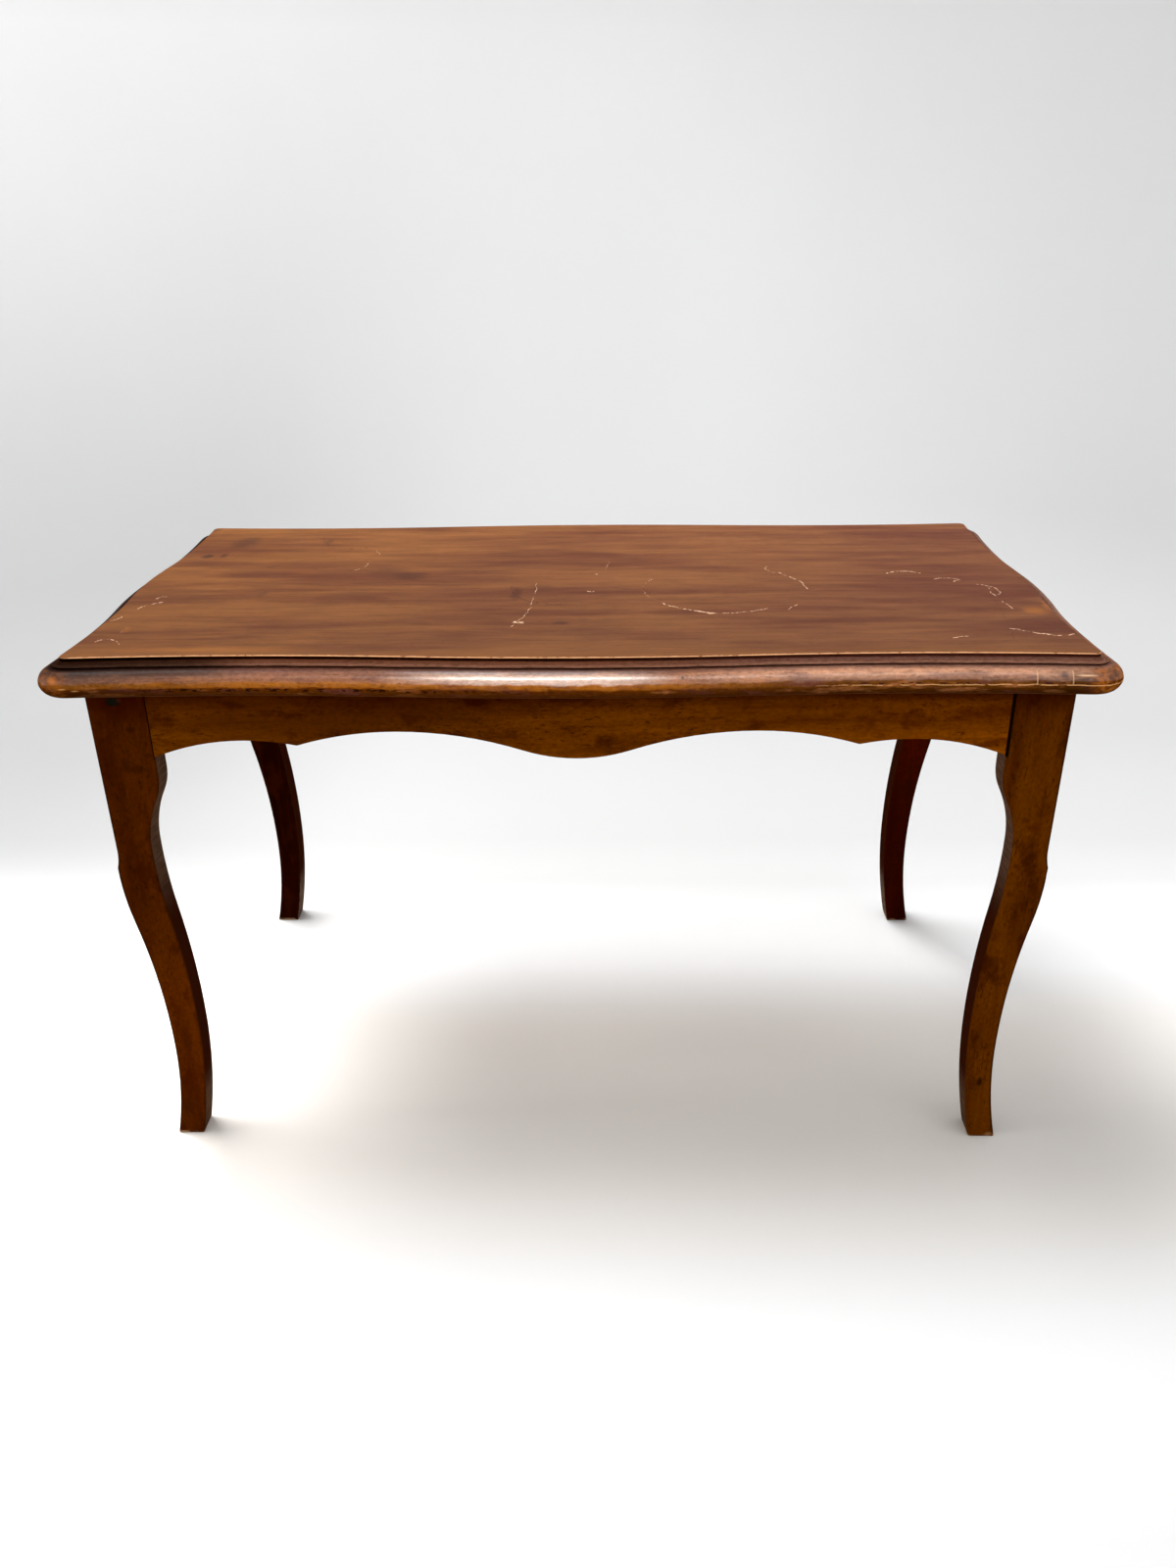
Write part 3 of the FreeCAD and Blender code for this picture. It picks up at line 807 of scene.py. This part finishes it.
def worked_top(tree, at, shade):
    """The flat top with its marks of use, and the mask of its pale scratches."""
    ragged = shaken(tree, at.place, 45.0, 3.0, (0.012, 0.012, 0))
    for pixel, half, strength in SMUDGES:
        shade = marked(tree, shade, spot_on_top(tree, ragged, pixel, half), strength, (54, 28, 22))
    for pixel, half, strength in WORN_PATCHES:
        shade = marked(tree, shade, spot_on_top(tree, ragged, pixel, half), strength, (176, 108, 46))
    skipping = shaken(tree, at.place, 90.0, 2.0, (0.006, 0.006, 0))
    pale = dark = 0.0
    for pixels, width in PALE_SCRATCHES:
        pale = maths(tree, "MAXIMUM", pale, draw_scratch(tree, skipping, pixels, width))
    for pixels, width in DARK_SCRATCHES:
        dark = maths(tree, "MAXIMUM", dark, draw_scratch(tree, skipping, pixels, width))
    shade = marked(tree, shade, dark, 0.6, (44, 24, 20))
    return marked(tree, shade, pale, 0.9, (226, 186, 152)), pale


print("smudges", len(SMUDGES), "worn patches", len(WORN_PATCHES))

# %% [markdown]
# ## The moulding
# Dirt and painted shade sit in the dark step and in the groove, while the round nose is
# rubbed clear, so the moulding is coloured by its depth below the top. A ramp of colours does
# this, and it also holds a painted highlight: the thin pale line on the land just above the
# groove. It has one column for the left end and one for the right, since the stain differs,
# and a noise shakes the depth a little, so that the colours don't run in ruled lines. A pale
# painted highlight in the middle of the nose widens the bright stretch that the lamp on the
# nose makes.

# %% Colours of the moulding
RAMP_DEPTH = 30.0
# rows: depth in mm, colour at the left end, colour at the right end. The dark rows from 0.9 to 2.9 mm and
# from 6.45 to 7.3 mm are dirt and painted shade, the pale row at 6.15 mm is a painted highlight, and the
# light right-hand row at 9.5 mm is partly a painted highlight
MOULDING_SHADES = (
    (0.0, (112, 66, 38), (108, 64, 40)),
    (0.6, (112, 66, 38), (108, 64, 40)),
    (0.9, (16, 3, 1), (42, 18, 12)),
    (2.9, (20, 5, 2), (48, 22, 15)),
    (3.5, (78, 44, 27), (80, 52, 43)),
    (5.6, (86, 54, 41), (90, 60, 48)),
    (6.15, (112, 76, 58), (118, 82, 66)),
    (6.45, (14, 3, 2), (20, 6, 4)),
    (7.3, (14, 3, 2), (20, 6, 4)),
    (8.0, (84, 52, 39), (118, 82, 66)),
    (9.5, (110, 67, 45), (168, 119, 90)),
    (12.0, (120, 73, 46), (150, 103, 74)),
    (15.2, (124, 76, 45), (112, 73, 49)),
    (15.9, (138, 84, 32), (90, 51, 20)),
    (19.6, (125, 70, 16), (78, 42, 8)),
    (20.4, (88, 42, 4), (78, 41, 7)),
    (21.5, (74, 34, 3), (70, 36, 4)),
    (25.0, (64, 30, 2), (56, 26, 2)),
    (30.0, (50, 20, 1), (48, 20, 1)),
)


def shade_ramp(tree, share_down, side):
    """The colours of one end of the moulding, read by the share of the way down to RAMP_DEPTH."""
    rows = [(row[0] / RAMP_DEPTH, colour(*row[side])) for row in MOULDING_SHADES]
    return colour_ramp(tree, share_down, rows)


def moulding_shade(tree, at):
    low = between(tree, at.depth, 14.0, 17.0)
    used = add(tree, "Mix", {"Factor": low, "A": at.uneven, "B": at.lower_uneven}).outputs["Result"]
    share_down = maths(tree, "DIVIDE", used, RAMP_DEPTH)
    left_end, right_end = (shade_ramp(tree, share_down, side) for side in (1, 2))
    shade = tint(tree, between(tree, at.x, 0.02, 0.20), left_end, right_end)
    # a pale painted highlight in the middle of the nose, widening the bright stretch that the lamp makes
    painted_highlight = times(tree, between(tree, at.depth, 8.8, 10.2), between(tree, at.lower_uneven, 17.4, 15.2))
    shade = marked(tree, shade, times(tree, painted_highlight, at.middle), 0.85, (164, 120, 90))
    blotch = long_noise(tree, at.place, (26.0, 60.0, 110.0), 4.0, 0.6)
    purple = times(tree, between(tree, blotch, 0.50, 0.68), at.on_nose)
    shade = marked(tree, shade, purple, 0.55, (84, 46, 40))
    amber = times(tree, between(tree, blotch, 0.47, 0.30), at.on_nose)
    shade = marked(tree, shade, amber, 0.5, (158, 98, 56))
    shade = marked(tree, shade, at.streaks, 0.3, (66, 30, 18))
    shade = marked(tree, shade, at.grain["Flecks"], 0.45, (44, 18, 10))
    return marked(tree, shade, at.grain["Specks"], 0.5, (60, 28, 16))


def nose_brightness_share(tree, at):
    """How bright the moulding is along the front: less at the left end, and painted shade round the right
    end, where the lamp on the nose would light it too brightly.
    """
    share = ranged(tree, between(tree, at.x, -0.40, -0.24, smooth=False), 0.48, 1.0)
    shoulder = times(tree, between(tree, at.depth, 14.5, 9.0), between(tree, at.x, -0.245, -0.305))
    share = times(tree, share, ranged(tree, shoulder, 1.0, 0.34))
    # painted shade round the right end, against too much light from the lamp on the nose
    right_end_shade = times(tree, at.on_nose, between(tree, at.x, 0.34, 0.385))
    share = times(tree, share, ranged(tree, right_end_shade, 1.0, 0.62))
    return times(tree, share, ranged(tree, at.grit, 0.78, 1.22))


print("moulding colours", len(MOULDING_SHADES), "from", MOULDING_SHADES[0][0], "to", RAMP_DEPTH, "mm down")

# %% [markdown]
# ## Wear on the nose
# The nose is what knees and chairs meet. End grain shows where it turns the corner, most at
# the right. The crease below it holds dark dashes at the left, and at the right a pale line
# where the finish has gone. Two joints and some dents stand where the photograph has them.
# Along the edge of the flat top runs a thin pale line, broken where the finish still holds.

# %% Ends and crease
def end_grain(tree, at, shade):
    end = between(tree, maths(tree, "ABSOLUTE", at.x), 0.392, 0.402)
    end = times(tree, times(tree, end, maths(tree, "LESS_THAN", at.y, -0.12)), at.on_nose)
    end = times(tree, end, between(tree, at.x, -0.8, 0.4, smooth=False))
    burl = between(tree, noise(tree, at.place, 120.0, 5.0, 0.6, 1.2), 0.4, 0.62)
    burl = tint(tree, burl, colour(72, 34, 8), colour(136, 76, 22))
    return tint(tree, times(tree, end, 0.85), shade, burl)


def crease_wear(tree, at, shade):
    dashes = long_noise(tree, at.place, (150.0, 30.0, 420.0), 2.0)
    dark = times(tree, between(tree, dashes, 0.54, 0.57), within(tree, at.depth, 20.4, 20.9, 23.2, 23.8))
    dark = times(tree, dark, within(tree, at.x, -0.37, -0.33, -0.15, 0.05))
    shade = marked(tree, shade, dark, 0.9, (22, 8, 3))
    waver = maths(tree, "MULTIPLY_ADD", noise(tree, at.place, 70.0, 3.0), 3.0, at.depth)
    right = between(tree, at.x, 0.16, 0.24)
    pale = times(tree, within(tree, waver, 20.4, 20.7, 21.3, 21.6), right)
    pale = times(tree, pale, between(tree, dashes, 0.40, 0.46))
    shade = marked(tree, shade, pale, 0.5, (206, 154, 100))
    over = times(tree, within(tree, waver, 18.6, 19.2, 20.0, 20.4), right)
    over = times(tree, over, between(tree, dashes, 0.52, 0.58))
    return marked(tree, shade, over, 0.8, (36, 16, 18))


# %% Joints and dents on the nose
NOSE_FACE = -0.226
JOINT_FACE = -0.228
JOINT_PIXELS = ((1058, 690), (1094, 690))
NOSE_MARKS = (
    ((1085, 687), (6, 3.5), (52, 34, 32), 0.7),
    ((696, 688), (3, 2), (30, 18, 16), 0.9),
    ((942, 681), (5, 2.5), (52, 34, 32), 0.5),
    ((116, 703), (20, 2), (40, 22, 14), 0.6),
    ((1107, 687), (14, 1.1), (206, 164, 120), 0.6),
    ((1103, 690.5), (8, 1.5), (40, 18, 10), 0.7),
    ((1116, 692), (5, 1.5), (40, 18, 10), 0.6),
    ((56, 693), (8, 5), (168, 96, 30), 0.5),
    ((67, 700), (6, 1.3), (190, 140, 86), 0.5),
    ((80, 702), (6, 1.2), (190, 140, 86), 0.45),
    ((54, 704), (8, 1.4), (30, 12, 4), 0.8),
    ((250, 686), (30, 3), (70, 40, 34), 0.35),
    ((380, 688), (24, 3), (70, 40, 34), 0.3),
    ((455, 684), (20, 2.5), (70, 40, 34), 0.3),
)


def nose_wear(tree, at, shade):
    tall = within(tree, at.depth, 9.0, 10.0, 18.0, 19.0)
    front_side = maths(tree, "LESS_THAN", at.y, -0.2)
    for pixel in JOINT_PIXELS:
        aside = maths(tree, "SUBTRACT", at.x, on_front(pixel, JOINT_FACE).x)
        thin = between(tree, maths(tree, "ABSOLUTE", aside), 0.0007, 0.0003)
        seen = times(tree, times(tree, thin, tall), front_side)
        shade = marked(tree, shade, seen, 0.45, (196, 152, 106))
    for pixel, half, mark, strength in NOSE_MARKS:
        mask = spot_on_front(tree, at.place, pixel, half, NOSE_FACE)
        shade = marked(tree, shade, mask, strength, mark)
    return shade


# %% Worn edge of the flat top
def worn_edge(tree, at):
    """The mask of the pale line along the front edge, and down the edge at the right end."""
    chips = long_noise(tree, at.place, (160.0, 60.0, 60.0), 3.0, 0.7)
    reach = maths(tree, "MULTIPLY_ADD", chips, 4.4, -1.3)
    front = times(tree, between(tree, at.depth, 0.60, 0.45), maths(tree, "LESS_THAN", at.edge, reach))
    forward = between(tree, at.looks_back, 0.05, -0.05)
    front = times(tree, front, maths(tree, "MAXIMUM", forward, between(tree, at.looks_up, 0.9, 0.99)))
    right_end = times(tree, between(tree, at.looks_right, 0.15, 0.35), between(tree, at.y, -0.06, -0.12))
    right_end = times(tree, right_end, between(tree, at.depth, 0.95, 0.75))
    return times(tree, maths(tree, "MAXIMUM", front, right_end), between(tree, chips, 0.30, 0.42))


# %% [markdown]
# ## Varnish, and the top put together
# Varnish is a clear layer over the stain, which the shader's coat stands for. It is whole in
# the middle of the nose, where the photograph has its bright stretch, and nearly gone
# elsewhere. The underside never saw stain or varnish, so it is raw wood.

# %% Top material
def varnish_share(tree, at):
    worn_right = times(tree, between(tree, at.x, 0.0, 0.12), 0.18)
    share = maths(tree, "MAXIMUM", maths(tree, "MAXIMUM", at.middle, 0.10), worn_right)
    share = times(tree, share, ranged(tree, between(tree, at.grain["Streaks"], 0.40, 0.66), 1.0, 0.7))
    share = times(tree, share, ranged(tree, at.grit, 0.8, 1.2), clamp=True)
    on_round = times(tree, between(tree, at.depth, 7.2, 8.8), between(tree, at.lower_uneven, 17.0, 15.2))
    polish = times(tree, between(tree, at.depth, 0.6, 0.2), 0.10)
    return maths(tree, "MAXIMUM", times(tree, share, on_round), polish)


def top_material():
    material, tree, shader, place = new_material("stained_top")
    at = top_readings(tree, place)
    flat, pale = worked_top(tree, at, flat_shade(tree, at))
    nose = scaled(tree, moulding_shade(tree, at), nose_brightness_share(tree, at))
    for wear in (end_grain, crease_wear, nose_wear):
        nose = wear(tree, at, nose)
    shade = tint(tree, between(tree, at.depth, 0.5, 0.9), flat, nose)
    shade = marked(tree, shade, worn_edge(tree, at), 0.75, (204, 150, 104))
    below = between(tree, at.looks_up, -0.85, -0.97)
    raw = tint(tree, at.bands, colour(128, 92, 58), colour(150, 112, 74))
    raw = marked(tree, raw, at.grain["Streaks"], 0.4, (96, 64, 40))
    feed(tree, shader.inputs["Base Color"], tint(tree, below, shade, raw))
    rough = ranged(tree, at.grain["Streaks"], 0.32, 0.48)
    feed(tree, shader.inputs["Roughness"], maths(tree, "ADD", rough, times(tree, below, 0.3)))
    feed(tree, shader.inputs["Coat Weight"], varnish_share(tree, at))
    shader.inputs["Specular IOR Level"].default_value = 0.0
    shader.inputs["Coat Roughness"].default_value = 0.32
    shader.inputs["Coat IOR"].default_value = 2.6
    height = maths(tree, "SUBTRACT", times(tree, at.grain["Streaks"], 0.6), at.grain["Pores"])
    normal = raised(tree, shader, maths(tree, "SUBTRACT", height, pale), 0.3)
    feed(tree, shader.inputs["Coat Normal"], normal)
    return material


top_wood = top_material()
print("top material nodes", len(top_wood.node_tree.nodes))

# %% [markdown]
# ## The stained frame
# Legs and aprons are the same wood in a golden to red brown. Each piece has its own pair of
# tones, and one function makes all the finishes. It is told whether the piece stands upright,
# since the grain runs along a piece and the noise has to be turned with it. The back legs
# stand in the shade of the top, and that shade is painted: they are much darker where they
# face the front, which the photograph shows, and have a second, unshaded pair of tones for the
# faces that look away.

# %% What the frame's finish reads
FRONT_FACE = -0.207
JOINT_PLACE = 0.3473


def frame_readings(tree, place, upright):
    parts = split(tree, place)
    facing = split(tree, add(tree, "NewGeometry").outputs["Normal"])
    along = place
    if upright:
        along = add(tree, "Mapping", {"Vector": place, "Rotation": (0, math.pi / 2, 0)}).outputs["Vector"]
    side = maths(tree, "SIGN", parts["X"])
    return SimpleNamespace(
        place=place,
        x=parts["X"],
        y=parts["Y"],
        z=parts["Z"],
        looks_out=times(tree, facing["X"], side),
        looks_back=facing["Y"],
        grain=use_group(tree, wood_grain, {"Vector": along}),
        mottle=long_noise(tree, along, (24.0, 44.0, 44.0), 5.0, 0.65),
    )


# %% Stain of the frame
def frame_stain(tree, at, light, dark, unshaded_tones):
    bands = between(tree, at.grain["Bands"], 0.35, 0.65)
    shade = tint(tree, bands, colour(*dark), colour(*light))
    # on the back legs the main tones are painted shade of the top on the faces that look forward; this
    # second pair is for the faces that look away
    if unshaded_tones:
        other = tint(tree, bands, colour(*unshaded_tones[1]), colour(*unshaded_tones[0]))
        shade = tint(tree, between(tree, at.looks_back, -0.3, 0.1), shade, other)
    grit = between(tree, at.grain["Grit"], 0.3, 0.7, smooth=False)
    shade = scaled(tree, shade, ranged(tree, grit, 0.78, 1.22))
    shade = marked(tree, shade, between(tree, at.grain["Streaks"], 0.45, 0.75), 0.45, (46, 15, 2))
    shade = marked(tree, shade, between(tree, at.mottle, 0.50, 0.66), 0.7, (40, 9, 0))
    shade = marked(tree, shade, at.grain["Flecks"], 0.6, (22, 5, 1))
    return marked(tree, shade, at.grain["Specks"], 0.7, (26, 7, 1))


def along_piece(tree, at, shade, upright, shares, calf):
    """Lighter or darker from end to end: shares of the left and right ends, and of the calf."""
    across = maths(tree, "POWER", between(tree, at.x, -0.35, 0.35, smooth=False), 3.0)
    shade = scaled(tree, shade, ranged(tree, across, *shares))
    if not upright:
        return shade
    shin = times(tree, between(tree, at.z, 0.24, 0.13), calf - 1.0)
    foot = times(tree, between(tree, at.z, 0.07, 0.03), max(calf - 1.2, 0.0))
    lift = maths(tree, "ADD", maths(tree, "SUBTRACT", shin, foot), 1.0)
    return scaled(tree, shade, lift)


# %% [markdown]
# ## Painted shade and sheen, dirt, saw marks and bruises
# Close under the moulding the pieces are darker, which is painted shade, and dirt gathers in
# the joints beside the legs, which stand wider open at the right. The faces that look inward
# were left from the saw: grey near the top and at the foot, which is a painted reflection of
# the pale floor, brown between, and crossed by the marks of the blade. The arris at the front
# is rounded and stained. The rounded edges of a leg are dark with painted shade, and its foot
# is bruised pale where it meets the floor. Each of these is a small function of its own, so
# that it can be changed or left out without touching the rest.

# %% Painted shade and sheen, dirt and wear of the frame
# grey of the sawn faces near the top and at the foot: a painted reflection of the pale floor
SAWN_SHEEN_FRONT = (78, 56, 42)
SAWN_SHEEN_ELSEWHERE = (92, 72, 58)


def shade_under_moulding(tree, at, shade):
    # painted shade under the overhang of the moulding
    height = maths(tree, "MULTIPLY_ADD", at.mottle, 0.02, at.z)
    return marked(tree, shade, between(tree, height, 0.425, 0.462), 0.8, (36, 3, 0))


def sawn_faces(tree, at, shade, sheen_grey):
    inward = times(tree, at.looks_out, -1.0)
    behind_arris = between(tree, maths(tree, "ABSOLUTE", at.y), -FRONT_FACE - 0.001, -FRONT_FACE - 0.004)
    sawn = times(tree, between(tree, inward, 0.35, 0.75), behind_arris)
    brown = within(tree, at.z, 0.035, 0.075, 0.230, 0.300)
    # grey near the top and at the foot is a painted reflection, brown between
    tone = tint(tree, brown, colour(*sheen_grey), colour(44, 14, 3))
    marks = long_noise(tree, at.place, (60.0, 60.0, 420.0), 3.0, 0.6)
    tone = marked(tree, tone, between(tree, marks, 0.4, 0.65), 0.45, (34, 20, 12))
    return tint(tree, sawn, shade, tone)


def joint_dirt(tree, at, shade):
    aside = maths(tree, "SUBTRACT", maths(tree, "ABSOLUTE", at.x), JOINT_PLACE)
    width = ranged(tree, maths(tree, "GREATER_THAN", at.x, 0.0), 0.0005, 0.0014)
    seam = between(tree, maths(tree, "DIVIDE", maths(tree, "ABSOLUTE", aside), width), 1.3, 0.8)
    seam = times(tree, seam, between(tree, at.z, 0.388, 0.390))
    return tint(tree, seam, shade, colour(12, 4, 1))


def leg_edge_shade_and_wear(tree, at, shade):
    # painted shade on the rounded edges of the leg; the pale bruise at the foot is wear
    arris = within(tree, at.looks_out, 0.06, 0.30, 0.90, 0.99)
    shade = marked(tree, shade, arris, 0.65, (28, 8, 2))
    bruised = times(tree, between(tree, at.z, 0.004, 0.001), between(tree, at.mottle, 0.45, 0.6))
    return marked(tree, shade, bruised, 0.7, (150, 116, 84))


# %% Frame material
def frame_material(
    name, light, dark, upright=False, spots=(), shares=(1.0, 1.0), calf=1.0, unshaded_tones=None
):
    material, tree, shader, place = new_material(name)
    at = frame_readings(tree, place, upright)
    shade = frame_stain(tree, at, light, dark, unshaded_tones)
    shade = along_piece(tree, at, shade, upright, shares, calf)
    shade = shade_under_moulding(tree, at, shade)
    shade = sawn_faces(tree, at, shade, SAWN_SHEEN_FRONT if spots else SAWN_SHEEN_ELSEWHERE)
    shade = joint_dirt(tree, at, shade)
    if upright:
        shade = leg_edge_shade_and_wear(tree, at, shade)
    for pixel, half, spot_colour, strength, edge in spots:
        mask = spot_on_front(tree, place, pixel, half, FRONT_FACE, edge)
        shade = marked(tree, shade, mask, strength, spot_colour)
    feed(tree, shader.inputs["Base Color"], shade)
    feed(tree, shader.inputs["Roughness"], ranged(tree, at.grain["Streaks"], 0.45, 0.65))
    shader.inputs["Specular IOR Level"].default_value = 0.0
    raised(tree, shader, maths(tree, "SUBTRACT", at.grain["Streaks"], at.grain["Flecks"]), 0.2)
    return material


# %% [markdown]
# ## Each piece of the frame
# The dark spots, the round plug near the top of the left front leg and the bruise at the foot
# of the right one stand where the photograph shows them. Each row has the middle pixel, the
# half size in pixels, the colour, the strength, and how far in the full strength begins.
# The tones of a piece are those of its pale and dark bands.

# %% Spots
LEFT_SPOTS = (
    ((114.5, 716.5), (8, 4.5), (14, 12, 6), 1.0, 0.8),
    ((121, 715), (4, 3), (58, 24, 4), 0.5, 0.3),
    ((133, 745), (7, 5), (28, 6, 1), 0.6, 0.2),
    ((140, 785), (13, 6), (28, 6, 1), 0.55, 0.2),
    ((152, 771), (9, 4), (28, 6, 1), 0.5, 0.2),
    ((116, 735), (3, 14), (30, 8, 1), 0.4, 0.2),
    ((128, 780), (7, 12), (30, 8, 1), 0.45, 0.2),
    ((190, 1060), (6, 20), (38, 10, 1), 0.4, 0.2),
    ((192, 1130), (12, 12), (46, 18, 4), 0.3, 0.3),
)
RIGHT_SPOTS = (
    ((1056, 845), (8, 7), (58, 18, 2), 0.45, 0.3),
    ((1037, 884), (4, 3), (34, 10, 3), 0.6, 0.3),
    ((1030, 913), (5, 4), (44, 14, 3), 0.4, 0.3),
    ((1015, 955), (10, 8), (52, 18, 3), 0.4, 0.3),
    ((999.5, 1104), (4, 6), (22, 8, 3), 0.8, 0.3),
    ((993, 1106), (9, 8), (46, 16, 3), 0.45, 0.3),
    ((1008, 1157), (5, 3), (130, 96, 66), 0.4, 0.3),
)
APRON_SPOTS = (
    ((235, 718), (9, 3), (40, 14, 2), 0.55, 0.3),
    ((247, 721), (7, 3), (40, 14, 2), 0.55, 0.3),
    ((255, 730), (5, 2), (34, 10, 2), 0.5, 0.3),
    ((285, 722), (5, 2), (34, 10, 2), 0.5, 0.3),
    ((1017, 714), (5, 2), (40, 14, 2), 0.5, 0.3),
    ((1012, 723), (9, 5), (56, 18, 2), 0.45, 0.3),
)
print("spots", len(LEFT_SPOTS + RIGHT_SPOTS + APRON_SPOTS))

# %% Tones of the frame
FRAME_TONES = {
    "leg_front_left": dict(light=(66, 27, 0), dark=(40, 10, 0), upright=True, spots=LEFT_SPOTS, calf=1.55),
    "leg_front_right": dict(light=(80, 38, 0), dark=(52, 18, 0), upright=True, spots=RIGHT_SPOTS, calf=1.05),
    # the back legs' light and dark tones are painted shade of the top; the second pair is for the faces that
    # look away
    "leg_back_left": dict(
        light=(27, 3, 0), dark=(17, 1, 0), upright=True, calf=0.9, unshaded_tones=((70, 28, 2), (46, 14, 1))
    ),
    "leg_back_right": dict(
        light=(60, 10, 0), dark=(42, 5, 0), upright=True, calf=0.6, unshaded_tones=((82, 36, 2), (56, 20, 1))
    ),
    "apron_front": dict(light=(90, 44, 0), dark=(63, 27, 0), spots=APRON_SPOTS, shares=(0.95, 1.75)),
    "apron_back": dict(light=(88, 44, 6), dark=(68, 28, 4)),
    "apron_left": dict(light=(88, 44, 6), dark=(68, 28, 4)),
    "apron_right": dict(light=(92, 48, 6), dark=(72, 30, 4)),
}
finishes = {name: frame_material("stained_" + name, **tones) for name, tones in FRAME_TONES.items()}
print("frame materials", len(finishes))

# %% [markdown]
# ## Blocks, buttons, dowels and screws
# What nobody sees was left raw: the corner blocks, the buttons that hold the top and the
# dowels are plain wood gone grey-brown with age. The screws are steel that has dulled, with
# rust where the damp got to it.

# %% Inner wood and steel
def inner_material():
    material, tree, shader, place = new_material("raw_inner_wood")
    grain = use_group(tree, wood_grain, {"Vector": place})
    shade = tint(tree, between(tree, grain["Bands"], 0.35, 0.65), colour(128, 90, 54), colour(166, 124, 80))
    shade = marked(tree, shade, grain["Streaks"], 0.45, (100, 66, 38))
    shade = marked(tree, shade, grain["Flecks"], 0.5, (62, 38, 22))
    feed(tree, shader.inputs["Base Color"], shade)
    shader.inputs["Roughness"].default_value = 0.7
    shader.inputs["Specular IOR Level"].default_value = 0.1
    raised(tree, shader, grain["Streaks"], 0.3)
    return material


def steel_material():
    material, tree, shader, place = new_material("dull_steel")
    rust = between(tree, noise(tree, place, 240.0, 4.0, 0.6), 0.48, 0.62)
    shade = tint(tree, rust, colour(150, 148, 142), colour(112, 62, 36))
    feed(tree, shader.inputs["Base Color"], shade)
    feed(tree, shader.inputs["Metallic"], maths(tree, "SUBTRACT", 1.0, rust))
    feed(tree, shader.inputs["Roughness"], ranged(tree, rust, 0.35, 0.75))
    raised(tree, shader, rust, 0.3, 0.0002)
    return material


finishes["inner"] = inner_material()
finishes["steel"] = steel_material()
print("inner wood and steel ready")

# %% [markdown]
# ## Hand out the finishes
# The name of a piece says what it is made of, so a rule that reads the name finds its finish.

# %% Give every piece its finish
def finish_of(name):
    if name.startswith("top_board"):
        return top_wood
    if "screws" in name:
        return finishes["steel"]
    return finishes.get(name, finishes["inner"])


for name, node in nodes.items():
    for slot in node.material_slots:
        slot.material = finish_of(name)
print("dressed pieces", len(nodes))
